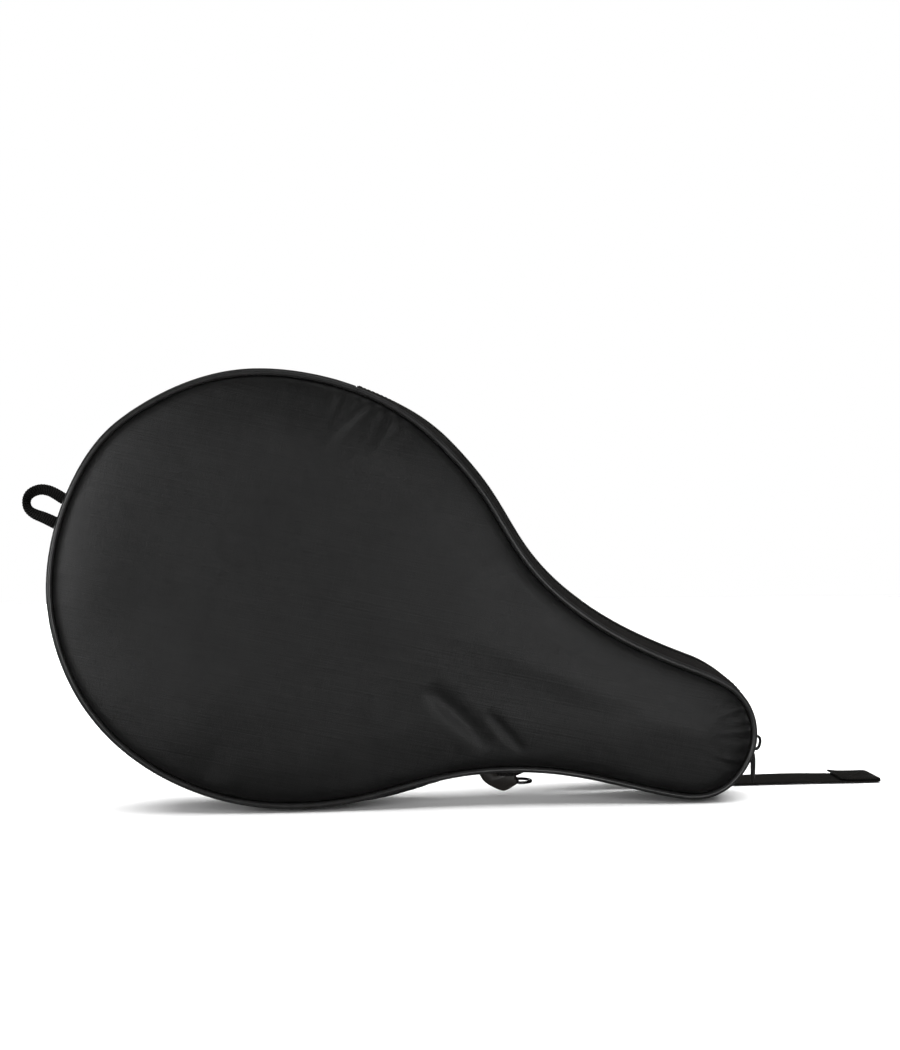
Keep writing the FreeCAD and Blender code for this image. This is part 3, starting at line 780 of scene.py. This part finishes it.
def wall_waves(s, y):
    """Slack in the wall: gathers at both seams and a fuller place under the neck."""
    out = np.zeros(np.broadcast(s, y).shape)
    near_seam = smoothstep((np.abs(y) - 4) / 14)
    gathers = drift(s[:, 0], 5.5, 4.0, 1.0)[:, None]
    long_waves = drift(s[:, 0], 38.0, 8.0, 6.0)[:, None]
    out += 0.45 * gathers * near_seam * (1 - smoothstep((np.abs(y) - 19) / 3))
    out += 0.5 * long_waves * (1 - (np.abs(y) / WALL_EDGE) ** 2)
    slack = past(s, near_s(*SLACK_AT))
    out += SLACK_OUT * np.exp(-(slack / SLACK_RUN) ** 2) * (1 - (np.abs(y) / WALL_EDGE) ** 4)
    ground = np.abs(s - near_s(-80, 4)) < 45
    return np.where(ground, np.minimum(out, 0.0), out)


def make_wall():
    start, end = S_ZIP_TOP + ZIP_GAP, S_ZIP_LOW - ZIP_GAP
    s = stations(start, end, 2.2)[:, None]
    ys = np.linspace(-WALL_EDGE, WALL_EDGE, 23)
    outer = wall_rise(ys) + wall_waves(s, ys)
    inner = outer[:, ::-1] - 1.1
    offset = np.concatenate([outer, inner], axis=1)
    y = np.concatenate([ys, ys[::-1]])
    points, faces = follow(s[:, 0], offset, y, False)
    piece("wall_cloth", points, faces, WALL_CLOTH, nodes=("side_wall",), finish="shell_fabric",
          share=flap_share(points))
    for name, node, top, thick, mat, finish in (
            ("wall_padding", "wall_foam", 1.35, 2.2, FOAM, "pad_foam"),
            ("wall_liner", "wall_lining", 3.8, 0.5, LINER, "lining_fabric")):
        s = stations(start, end, 5.0)
        ys = np.linspace(-17.9, 17.9, 13)
        outer = wall_rise(ys) - top + np.zeros((len(s), 1))
        offset = np.concatenate([outer, outer[:, ::-1] - thick], axis=1)
        points, faces = follow(s, offset, np.concatenate([ys, ys[::-1]]), False)
        pad = piece(name, points, faces, mat, nodes=(node,), finish=finish,
                    share=flap_share(points))


# ------------------------------------------------------------------ zip
TAPE_TOP = BULGE - 1.3
TEETH_PITCH = 1.5
# How much further out than the solids the closed zip's facing stands, and the tape on top of it
FACING_PUFF, TAPE_PUFF = 2.2, 1.7
# Sections of one half, as (offset, y)
FACING = [(0.1, WALL_EDGE), (1.0, 20.5), (2.3, 17.0), (3.3, 13.0), (3.9, 9.6), (4.05, 8.6),
          (3.9, 8.05), (3.4, 7.9), (3.05, 8.1), (2.9, 9.4), (2.2, 13.0), (1.2, 17.0), (-0.1, 20.5),
          (-0.9, WALL_EDGE)]
TAPE = [(0.6, 17.0), (1.9, 12.5), (2.65, 9.0), (2.75, 6.0), (2.7, 2.6), (2.3, 2.4), (1.95, 2.6),
        (1.9, 6.0), (1.8, 9.0), (1.1, 12.5), (-0.1, 17.0)]
# A tooth from its root to its head: y, width and height
TOOTH = [(2.55, 0.35, 0.5), (2.2, 0.5, 1.25), (1.0, 0.52, 1.4), (0.0, 0.56, 1.45),
         (-0.55, 0.72, 1.35), (-0.95, 0.45, 0.8)]
# A stop's section, as (height, y)
STOP = [(1.8, 2.2), (3.7, 2.8), (4.9, 2.2), (5.0, 0.9), (4.3, 0.35), (1.9, 0.4)]


def puff(s, y=0.0):
    """How much further the closed zip stands out at depth y. It dies out at both ends."""
    from_hold, to_top = past(s, S_ZIP_HOLD), past(S_ZIP_TOP, s)
    high = FACING_PUFF * smoothstep((22.5 - np.abs(y)) / 9)
    high = high + TAPE_PUFF * smoothstep((9.5 - np.abs(y)) / 4.5)
    return high * smoothstep(from_hold / 40) * smoothstep(to_top / 70)


def zip_band(section, side, start, end, pitch, wave=0.0):
    """A strip of the zip with a section of (offset, y) corners."""
    s = stations(start, end, pitch)
    section = np.array(section, float)
    rows = len(s)
    ripple = wave * drift(s, 9.0, side * 3.0, 4.0)[:, None]
    offset = np.tile(section[:, 0], (rows, 1)) + ripple * (np.abs(section[:, 1]) > 9.5)
    offset += puff(s[:, None], section[:, 1])
    y = np.tile(section[:, 1] * side, (rows, 1))
    points, faces = follow(s, offset, y, False)
    run = np.concatenate([[0], np.cumsum(np.linalg.norm(np.diff(section, axis=0), axis=1))])
    uv = np.stack([np.repeat(s, len(section)), np.tile(run, rows)], -1)
    return points, faces, uv


def tooth(s, side):
    """One turn of the coil: a flattened bead across the tape, its head past the middle."""
    p, n = line.frame(s)
    t = np.array([-n[1], n[0]])
    middle = TAPE_TOP + 0.75 + puff(s)
    rings = []
    for y, wide, high in TOOTH:
        for a in ring_angles(8):
            ds = math.cos(a) * wide * TEETH_PITCH * 0.46
            h = middle + math.sin(a) * high * 0.72
            rings.append((p[0] + t[0] * ds + n[0] * h, side * y, p[1] + t[1] * ds + n[1] * h))
    return np.array(rings), tube_faces(len(TOOTH), 8)


def stop_clip(s, side):
    """A small crimped clip over one row of teeth."""
    p, n = line.frame(np.array([s - 1.3, s - 1.1, s + 1.1, s + 1.3]))
    rows = []
    for centre, out, shrink in zip(p, n, (0.85, 1.0, 1.0, 0.85)):
        for h, y in STOP:
            h = 3.4 + (h - 3.4) * shrink
            y = side * (1.6 + (y - 1.6) * shrink)
            rows.append((centre[0] + out[0] * h, y, centre[1] + out[1] * h))
    return np.array(rows), tube_faces(4, len(STOP))


def stitch_row(start, end, y, height, pitch=3.0, long=2.1, wide=0.5):
    """Thread lying along the outline at depth y."""
    parts = []
    for s in stations(start, end, pitch):
        p, n = line.frame(s)
        along = np.array([-n[1], 0, n[0]])
        out = np.array([n[0], 0, n[1]])
        rise = height + puff(s, y)
        centre = np.array([p[0] + n[0] * rise, y, p[1] + n[1] * rise])
        parts.append(stitch(centre, along, out, long, wide, 0.42))
    return join(parts)


def make_zip():
    low, high = S_ZIP_LOW + ZIP_GAP, S_ZIP_TOP - ZIP_GAP
    for side, name, solids in ((1, "back", ("zip_back_",)),
                               (-1, "front", ("zip_front_", "zip_end_"))):
        def strip(kind, points, faces, cloth, finish, nodes=(), uv=None):
            share = flap_share(points, zip_side=True) if side < 0 else None
            piece(f"zip_{name}_{kind}", points, faces, cloth, nodes=nodes, finish=finish, uv=uv,
                  share=share)

        points, faces, uv = zip_band(FACING, side, low, high, 2.0, wave=0.35)
        strip("cloth", points, faces, WALL_CLOTH, "zip_tape", [s + "facing" for s in solids], uv)
        points, faces, uv = zip_band(TAPE, side, low, high, 2.5)
        strip("web", points, faces, ZIP_TAPE, "zip_tape", [s + "tape" for s in solids], uv)
        shift = TEETH_PITCH / 2 if side < 0 else 0
        teeth = [tooth(s + shift, side) for s in stations(low + 1.5, high - 1.5, TEETH_PITCH)]
        teeth.append(stop_clip(S_ZIP_TOP - 2.7, side))
        strip("teeth", *join(teeth), COIL, "zip_coil",
              [s + "coil" for s in solids] + [f"zip_{name}_stop"])
        rows = [stitch_row(low + 2, high - 2, side * 9.4, 4.05),
                stitch_row(low + 2, high - 2, side * 3.6, 2.9, pitch=2.2, long=1.6, wide=0.4)]
        strip("stitches", *join(rows), THREAD, "zip_tape")
    s = S_ZIP_LOW + 2.7
    points, faces = join([stop_clip(s, 1), stop_clip(s, -1)])
    piece("zip_end_clamp", points, faces, ENAMEL, nodes=("zip_end_stop",), finish="slider_metal",
          share=flap_share(points, zip_side=True))


# ------------------------------------------------------------------ slider and pull
def on_arc(u, r, y):
    """A point by the slider's middle: u along the zip, r out from the end's centre, y across."""
    a = math.radians(SLIDER_ANGLE) + u / 44.0
    return END_X + r * math.cos(a), y, END_Z + r * math.sin(a)


def slab(outline, r_low, r_high):
    """A plate bent to the arc: outline is (u, y) corners."""
    n = len(outline)
    pts = [on_arc(u, r_low, y) for u, y in outline] + [on_arc(u, r_high, y) for u, y in outline]
    faces = [tuple(range(n))[::-1], tuple(range(n, 2 * n))]
    faces += [(i, (i + 1) % n, n + (i + 1) % n, n + i) for i in range(n)]
    return np.array(pts), faces


def make_slider():
    top = PLATE_IN + PLATE
    plate = [(-4.6, -2.6), (-3.4, -3.2), (0.0, -3.6), (2.6, -4.0), (4.1, -3.8), (4.7, -2.6),
             (4.8, 0), (4.7, 2.6), (4.1, 3.8), (2.6, 4.0), (0.0, 3.6), (-3.4, 3.2), (-4.6, 2.6),
             (-4.7, 0)]
    parts = [slab(plate, PLATE_IN, top)]
    inner_r = END_R + TAPE_UNDER - PLATE_PLAY - PLATE
    parts.append(slab([(u * 0.98, y * 0.97) for u, y in plate], inner_r, inner_r + PLATE))
    for side in (-1, 1):
        rail = [(-4.2, side * 2.6), (0, side * 3.0), (2.8, side * 3.5), (2.8, side * 4.0),
                (0, side * 3.6), (-4.2, side * 3.2)]
        parts.append(slab(rail[::side], PLATE_IN - 0.7, PLATE_IN + 0.3))
    parts.append(slab([(1.6, -0.3), (4.4, -0.5), (4.4, 0.5), (1.6, 0.3)], inner_r, top))
    arch = chaikin([(-4.2, 0.1), (-4.5, 2.3), (-4.3, 4.6), (-2.9, 6.0), (0.2, 6.3), (3.0, 5.6),
                    (4.2, 3.6), (4.5, 0.1)], 2)
    count = len(arch)
    ring = []
    for i, (u, h) in enumerate(arch):
        a, b = arch[max(i - 1, 0)], arch[min(i + 1, count - 1)]
        d = (b - a) / np.linalg.norm(b - a)
        for a in ring_angles(8, 0.5):
            w, t = squarish(a, 0.6)
            ring.append(on_arc(u - d[1] * (0.8 * t), top + h + d[0] * (0.8 * t), 1.8 * w))
    casting = piece("slider_casting", *join(parts), ENAMEL, body="slider", nodes=("zip_slider",),
                    finish="slider_metal")
    bevel(casting, 0.28)
    piece("slider_bridge", np.array(ring), tube_faces(count, 8), ENAMEL, body="slider",
          finish="slider_metal")


PIVOT_R = PLATE_IN + PLATE + 1.65
PULL_X, PULL_Z = end_point(PIVOT_ANGLE, PIVOT_R)


PIN_R = 0.72
PULL_TURN = 48.0
# Stops down the pull: a leg's (down, out from the middle, half width), the rest's (down, half width)
PULL_LEG = ((-0.9, 2.2, 0.35), (-0.5, 2.3, 0.55), (1.0, 2.3, 0.6), (4.0, 2.25, 0.6),
            (7.0, 2.1, 0.65), (9.0, 2.0, 0.75), (12.0, 2.1, 0.75), (17.0, 2.05, 0.75),
            (21.0, 1.8, 0.8), (24.0, 1.3, 0.85), (26.0, 0.7, 0.75), (26.8, 0.35, 0.5))
PULL_NECK = ((6.6, 1.6), (7.0, 1.9), (8.6, 1.9), (9.2, 1.5))
PULL_WEB = ((8.8, 1.7), (9.2, 1.9), (22.4, 1.7), (22.8, 1.5))
PULL_TIP = ((23.6, 1.0), (24.0, 1.2), (25.4, 1.0), (26.4, 0.6))


def make_pull():
    """A flattened wire-like pull: eye on the pin, neck, then a slim plate, turned a little."""
    def bar(stops, turning=True):
        """A bar down the pull through (down, centre, half width, half thickness)."""
        rings = []
        for down, centre, half_wide, half_thick in stops:
            twist = math.radians(PULL_TURN)
            if turning:
                twist *= float(smoothstep((down - 3) / 7))
            c, s = math.cos(twist), math.sin(twist)
            for a in ring_angles(10):
                w, t = squarish(a, 0.7)
                w, t = centre + half_wide * w, half_thick * t
                rings.append((PULL_X + w * s + t * c, w * c - t * s, PULL_Z - down))
        return np.array(rings), tube_faces(len(stops), 10)

    parts = [bar([(down, side * centre, half, 0.66 if down > 5 else 0.6)
                  for down, centre, half in PULL_LEG]) for side in (-1, 1)]
    for stops, thick, turning in ((PULL_NECK, 0.62, True), (PULL_WEB, 0.34, False),
                                  (PULL_TIP, 0.62, False)):
        parts.append(bar([(down, 0.0, half, thick) for down, half in stops], turning))
    pin = [(PULL_X + PIN_R * math.cos(a), y, PULL_Z + PIN_R * math.sin(a))
           for y in (-2.6, -2.4, 2.4, 2.6) for a in ring_angles(12)]
    parts.append((np.array(pin), tube_faces(4, 12)))
    piece("pull_tab", *join(parts), ENAMEL, body="pull", nodes=("zip_pull",), finish="slider_metal")


# ------------------------------------------------------------------ hanging loop
LOOP_THICK, LOOP_HALF_WIDE = 1.25, 4.0
LOOP_RIB, LOOP_RIB_PITCH = 0.2, 1.5
# Stops round the loop: out from the head, up along it, back, and the webbing's lean
LOOP_PATH = [(-3.0, 5.8, 0, 12), (2.5, 6.2, 0, 16), (8, 7.6, 0, 22), (13.5, 8.4, 0.6, 28),
             (19.6, 7.2, 1.6, 34), (24.6, 2.6, 2.4, 44), (25.6, -2.6, 2.6, 62),
             (22.8, -7.4, 1.8, 60), (17.4, -9.2, 1.0, 42), (11.0, -9.2, 0.3, 28), (5, -9.9, 0, 20),
             (-3.0, -10.8, 0, 14)]


def make_loop():
    _, out = line.frame(near_s(*LOOP_ANCHOR))
    up = np.array([-out[1], out[0]])
    if up[1] < 0:
        up = -up
    path = even(chaikin(LOOP_PATH), 0.29)
    flat = np.array(LOOP_ANCHOR) + path[:, :1] * out + path[:, 1:2] * up
    centre = np.stack([flat[:, 0], LOOP_Y + path[:, 2], flat[:, 1]], -1)
    t = np.gradient(centre, axis=0)
    t /= np.linalg.norm(t, axis=1, keepdims=True)
    plane = np.cross(t, np.array([0, 1.0, 0]))
    plane /= np.linalg.norm(plane, axis=1, keepdims=True)
    a = np.radians(path[:, 3:4])
    across = plane * np.cos(a) + np.array([0, 1.0, 0]) * np.sin(a)

    def rib(length):
        return LOOP_RIB * (np.sin(length * 2 * math.pi / LOOP_RIB_PITCH) * 0.5 + 0.5) - 0.08

    points, faces, uv = ribbon(centre, across, LOOP_THICK, LOOP_HALF_WIDE, rib=rib)
    piece("hanging_webbing", points, faces, LOOP_WEBBING, nodes=("hanging_loop",),
          finish="webbing", uv=uv)


# ------------------------------------------------------------------ ring tab and ring
def make_ring_tab():
    bowl = chaikin([(53.2, 18.6), (55.0, 14.8), (58.6, 11.2), (63.5, 8.6), (67.2, 6.9), (70.4, 6.3),
                    (73.2, 7.4), (76.5, 9.4), (80.2, 11.6), (80.6, 13.4), (79.0, 15.2),
                    (78.4, 19.0)], 2)
    top = np.array([(x, 21.0 - BULGE + 3.4) for x in (76.5, 71, 65, 59, 54.5)])
    outline = np.vstack([bowl, top])
    centre = np.array([67.0, 14.5])
    rows = []
    depth = np.linspace(-1, 1, 15)
    for v in depth:
        pull = (1 - abs(v) ** 4.0) ** 0.5 if abs(v) < 1 else 0.0
        k = 0.80 + 0.20 * pull
        crease = 0.35 * math.sin(v * 7.0)
        for i, (x, z) in enumerate(outline):
            q = centre + (np.array([x, z]) - centre) * k
            q[1] = z if z > 16.5 else q[1]
            rows.append((q[0] + crease * (1 if z < 15 else 0) * 0.4, v * 5.4, q[1]))
    piece("ring_fold", rows, tube_faces(len(depth), len(outline)), TAB_CLOTH, nodes=("ring_tab",),
          finish="shell_fabric")
    flap = [(64.0, 19.6), (78.0, 19.4), (83.0, 20.0), (82.6, 18.9), (78.5, 17.4), (72.0, 16.9),
            (65.0, 17.6)]
    rows = [(x, y, z) for y in (-6.1 * 0.94, -5.9, 5.9, 6.1 * 0.94) for x, z in flap]
    cover = piece("ring_fold_top", rows, tube_faces(4, len(flap)), WEBBING, finish="webbing",
                  uv=[(x, y) for x, y, z in rows])
    bevel(cover, 0.3)
    half = RING_WIDE / 2
    bend = np.linspace(0.3, math.pi / 2, 5)
    path = [(0.0, y) for y in np.linspace(half - 1.0, -half + 1.0, 12)]
    path += [(1.0 - math.cos(a), -half + 1.0 - math.sin(a)) for a in bend]
    path += [(RING_ARM + half * math.sin(a), -half * math.cos(a))
             for a in np.linspace(0, math.pi, 22)]
    path += [(1.0 - math.cos(a), half - 1.0 + math.sin(a)) for a in bend[::-1]]
    rows = []
    count = len(path)
    for i, (x, y) in enumerate(path):
        a, b = path[i - 1], path[(i + 1) % count]
        d = np.array([b[0] - a[0], b[1] - a[1]])
        d /= np.linalg.norm(d)
        for ang in ring_angles(12):
            rows.append((RING_X + x + d[1] * math.cos(ang), y - d[0] * math.cos(ang),
                         RING_Z + math.sin(ang)))
    piece("wire_ring", rows, tube_faces(count, 12, closed=True), RING_ENAMEL, body="ring",
          nodes=("d_ring",), finish="ring_metal")


# ------------------------------------------------------------------ strap, lock and tabs
def hank_y(k):
    return HANK_Y + STRAP_THICK / 2 + k * LAYER


def turn(x, low, high, side, steps=10):
    middle, radius = (low + high) / 2, (high - low) / 2
    return [(x + side * abs(radius) * math.sin(math.pi * i / steps),
             middle - radius * math.cos(math.pi * i / steps)) for i in range(steps + 1)]


def webbing_run(path, rounds=1):
    """Webbing along (x, y, z, lean) stops: at lean 0 its width stands up, at 90 it lies flat."""
    flat = even(chaikin(path, rounds), 1.6)
    a = np.radians(flat[:, 3:4])
    across = np.array([0, 1.0, 0]) * np.sin(a) + np.array([0, 0, 1.0]) * np.cos(a)
    return ribbon(flat[:, :3], across, STRAP_THICK - 0.2, STRAP_WIDE / 2 - 0.1, flat_points=11)


def box_stitches(a_low, a_high, b_low, b_high, place, out):
    """Thread in a box with a cross inside it. place turns a corner's (a, b) into a point."""
    corners = [(a_low, b_low), (a_high, b_low), (a_high, b_high), (a_low, b_high)]
    pairs = [(corners[i], corners[(i + 1) % 4]) for i in range(4)]
    pairs += [(corners[0], corners[2]), (corners[1], corners[3])]
    parts = []
    for a, b in pairs:
        a, b = np.array(place(*a)), np.array(place(*b))
        length = np.linalg.norm(b - a)
        d = (b - a) / length
        for t in np.arange(1.2, length - 0.8, 2.6):
            parts.append(stitch(a + d * t, d, np.array(out, float), 1.9, 0.5, 0.5))
    return join(parts)


def make_strap():
    stand = HANK_Z + STRAP_WIDE / 2
    over = HANK_Y + STRAP_THICK / 2 + LOCK_OUT + LOCK_BAR + LOCK_PLAY
    hank = [(STRAP_START, hank_y(3))]
    hank += turn(STRAP_LEFT, hank_y(3), hank_y(2), -1)
    hank += turn(STRAP_TURN, hank_y(2), hank_y(1), 1)
    hank += turn(STRAP_LEFT, hank_y(1), hank_y(0), -1)
    rise = LOCK_PITCH * 0.6
    hank += [(LOCK_X - rise - 6, hank_y(0)), (LOCK_X - rise, hank_y(0)),
             (LOCK_X - 3.4, over - 0.4), (LOCK_X, over), (LOCK_X + 3.4, over - 0.4),
             (LOCK_X + rise, hank_y(0)),
             (TWIST_FROM, hank_y(0))]
    path = [(x, y, stand, 0) for x, y in hank]
    flat_y, low = TAIL_Y + STRAP_WIDE / 2, STRAP_THICK / 2
    for i in range(1, 12):
        t = i / 12
        eased, sooner = float(smoothstep(t)), float(smoothstep(t * 2.2))
        path.append((TWIST_FROM + (TWIST_TO - TWIST_FROM) * t,
                     hank_y(0) + (flat_y - hank_y(0)) * sooner,
                     stand + (low - stand) * eased, 90 * eased))
    top = low + LAYER
    bend_x = STRAP_TIP - 1.8
    tail = [(TWIST_TO, low), (235, low), (262, low + 0.5), (290, low + 0.9),
            (315, low + 0.3), (330, low), (bend_x, low)]
    tail += turn(bend_x, low, top, 1)[1:]
    tail += [(STRAP_TIP - TIP_FOLD * 0.5, top), (STRAP_TIP - TIP_FOLD + 5, top + 0.2),
             (STRAP_TIP - TIP_FOLD, top + 1.0)]
    path += [(x, flat_y, z, 90) for x, z in tail]
    points, faces, uv = webbing_run(path)
    piece("strap_webbing", points, faces, WEBBING, nodes=("shoulder_strap",), finish="webbing",
          uv=uv)

    skin = STRAP_THICK / 2
    parts = [box_stitches(STRAP_TIP - 25, STRAP_TIP - 5, TAIL_Y + 3, TAIL_Y + STRAP_WIDE - 3,
                          lambda x, y: (x, y, top + skin), (0, 0, 1))]
    for _, x, level, _ in STRAP_TABS:
        skin_y = hank_y(level) + STRAP_THICK * 1.5 + 0.1
        parts.append(box_stitches(x + 3, x + TAB_WIDTH - 3, HANK_Z + 8, HANK_Z + STRAP_WIDE - 3,
                                  lambda a, b, y=skin_y: (a, y, b), (0, 1, 0)))
    points, faces = join(parts)
    piece("strap_stitches", points, faces, THREAD, finish="webbing")

    away = LOCK_BAR / 2 + LOCK_PLAY + STRAP_THICK / 2
    bar_x, bar_y = LOCK_X - LOCK_PITCH, HANK_Y + LOCK_OUT + LOCK_BAR / 2
    loop = [(68, hank_y(1)), (bar_x - 6, hank_y(1)), (bar_x + away * 0.8, hank_y(1) + 0.2),
            (bar_x + away, bar_y), (bar_x + away * 0.8, bar_y + away), (bar_x - 3, bar_y + away),
            (bar_x - 15, hank_y(2) + 0.2), (bar_x - 22, hank_y(2)), (68, hank_y(2))]
    points, faces, uv = webbing_run([(x, y, stand, 0) for x, y in loop], rounds=2)
    piece("lock_loop", points, faces, WEBBING, nodes=("lock_webbing",), finish="webbing", uv=uv)

    for name, x, level, near_z in STRAP_TABS:
        rest = hank_y(level) + STRAP_THICK + 0.2
        p = line.at(near_s(x + TAB_WIDTH / 2, near_z))
        path = [(SEAM + 1.6, p[1] - 0.3), (SEAM + 4.2, p[1] + 0.6), (rest - 3.0, HANK_Z - 7),
                (rest, HANK_Z - 1), (rest, HANK_Z + 6), (rest, HANK_Z + STRAP_WIDE)]
        flat = even(chaikin(path), 1.2)
        centre = np.stack([np.full(len(flat), x + TAB_WIDTH / 2), flat[:, 0], flat[:, 1]], -1)
        across = np.tile([1.0, 0, 0], (len(centre), 1))
        points, faces, uv = ribbon(centre, across, STRAP_THICK - 0.2, TAB_WIDTH / 2 - 0.1)
        piece(name + "_strap_tab", points, faces, WEBBING, nodes=(name + "_tab",),
              finish="webbing", uv=uv)


def make_lock():
    """A moulded ladder frame: rounded side rails and three bars."""
    low_z, wide = HANK_Z - 3.0, STRAP_WIDE + 6.0
    outer = 2 * LOCK_PITCH + LOCK_BAR
    depth = HANK_Y + LOCK_OUT + LOCK_BAR / 2

    def rounded_bar(a, b, half_wide, half_high):
        a, b = np.array(a, float), np.array(b, float)
        d = (b - a) / np.linalg.norm(b - a)
        side = np.array([-d[1], d[0]])
        rings = []
        for t, k in ((0, 0.7), (0.04, 1.0), (0.5, 1.0), (0.96, 1.0), (1, 0.7)):
            c = a + (b - a) * t
            for ang in ring_angles(12, 0.5):
                w, h = squarish(ang, 0.55)
                w, h = half_wide * k * w, half_high * k * h
                rings.append((c[0] + side[0] * w, depth + h, c[1] + side[1] * w))
        return np.array(rings), tube_faces(5, 12)

    parts = []
    for z in (low_z + 1.3, low_z + wide - 1.3):
        parts.append(rounded_bar((LOCK_X - outer / 2, z), (LOCK_X + outer / 2, z), 1.3, 1.5))
    for x in (LOCK_X - LOCK_PITCH, LOCK_X, LOCK_X + LOCK_PITCH):
        parts.append(rounded_bar((x, low_z + 1), (x, low_z + wide - 1), 1.45, 1.45))
    piece("lock_frame", *join(parts), ACETAL, nodes=("ladder_lock",), finish="buckle_plastic")


make_covers()
make_piping()
make_wall()
make_zip()
make_slider()
make_pull()
make_loop()
make_ring_tab()
make_strap()
make_lock()

# ------------------------------------------------------------------ floor, light and camera
floor_mat, _, floor_bsdf = material("studio_floor")
floor_bsdf.inputs["Base Color"].default_value = (0.95, 0.95, 0.95, 1)
floor_bsdf.inputs["Roughness"].default_value = 0.75
floor_bsdf.inputs["Specular IOR Level"].default_value = 0.2
floor_mesh = bpy.data.meshes.new("floor")
corners = [(x, y, -0.0005) for x, y in ((-2.2, -0.8), (2.2, -0.8), (2.2, 1.6), (-2.2, 1.6))]
floor_mesh.from_pydata(corners, [], [(0, 1, 2, 3)])
floor_mesh.materials.append(floor_mat)
floor = bpy.data.objects.new("floor", floor_mesh)
bpy.context.scene.collection.objects.link(floor)
floor.visible_glossy = False

# The camera sees a white room. Everything else is lit by a dim one, a little brighter on the left.
ROOM_RIGHT, ROOM_LEFT = 0.02, 0.05
world = bpy.data.worlds.new("studio")
bpy.context.scene.world = world
world.use_nodes = True
world_tree = world.node_tree
world_nodes = Nodes(world_tree)
background = world_tree.nodes["Background"]
background.inputs["Color"].default_value = (1, 1, 1, 1)
ray = world_nodes.new("ShaderNodeLightPath").outputs["Is Camera Ray"]
toward = world_nodes.xyz(world_nodes.coords("Generated"))
leftward = world_nodes.math("MULTIPLY_ADD", toward[0], -0.5, 0.5)
room = world_nodes.spread(leftward, ROOM_RIGHT, ROOM_LEFT)
shown = world_nodes.new("ShaderNodeMix", data_type="FLOAT")
world_nodes.link(ray, shown.inputs["Factor"])
world_nodes.link(room, shown.inputs[2])
shown.inputs[3].default_value = 1.0
world_nodes.link(shown.outputs[0], background.inputs["Strength"])


def softbox(name, place, target, wide, high, power, glossy=True):
    light = bpy.data.lights.new(name, "AREA")
    light.shape = "RECTANGLE"
    light.size, light.size_y = wide, high
    light.energy = power
    obj = bpy.data.objects.new(name, light)
    obj.location = place
    obj.rotation_euler = (Vector(target) - Vector(place)).to_track_quat("-Z", "Y").to_euler()
    obj.visible_glossy = glossy
    bpy.context.scene.collection.objects.link(obj)


# Small lights that shape the cloth's shine
softbox("key_left", (-1.0, -1.15, 0.24), (-0.15, 0, 0.12), 0.5, 0.5, 4.7)
softbox("fill_right", (0.40, -1.7, 0.08), (0.12, 0, 0.06), 0.4, 0.3, 4.0)
softbox("back_near", (-0.65, 1.7, 0.24), (0.05, 0, 0.12), 0.6, 0.4, 4.5)
softbox("back_far", (-1.3, 1.2, 0.3), (-0.1, 0, 0.12), 0.5, 0.5, 4)
softbox("right", (2.0, 0.1, 0.3), (0.0, 0, 0.1), 0.6, 0.6, 2.5)
softbox("over", (0.3, -0.2, 1.7), (0.0, 0, 0.2), 0.8, 0.8, 1.0)
# Large ones that light the floor and leave no shine on the cloth
softbox("top", (0.0, 0.15, 1.7), (0, 0.15, 0.0), 3.4, 2.6, 112, glossy=False)
softbox("sweep", (0.1, 3.2, 1.2), (0, 0.4, 0.0), 4.0, 2.0, 36, glossy=False)
softbox("front", (0.0, -1.9, 1.0), (0, 0, 0), 2.6, 0.8, 18, glossy=False)
bpy.context.scene.view_settings.view_transform = "Standard"

LENS, EYE, LOOK = 52.55, (-0.12546, -1.04381, 0.22338), (0.10446, 0.99388, -0.0346)
camera = bpy.data.cameras.new("camera")
camera.sensor_width = 36
camera.lens = LENS
eye = bpy.data.objects.new("camera", camera)
eye.location = EYE
eye.rotation_euler = Vector(LOOK).to_track_quat("-Z", "Y").to_euler()
bpy.context.scene.collection.objects.link(eye)
bpy.context.scene.camera = eye
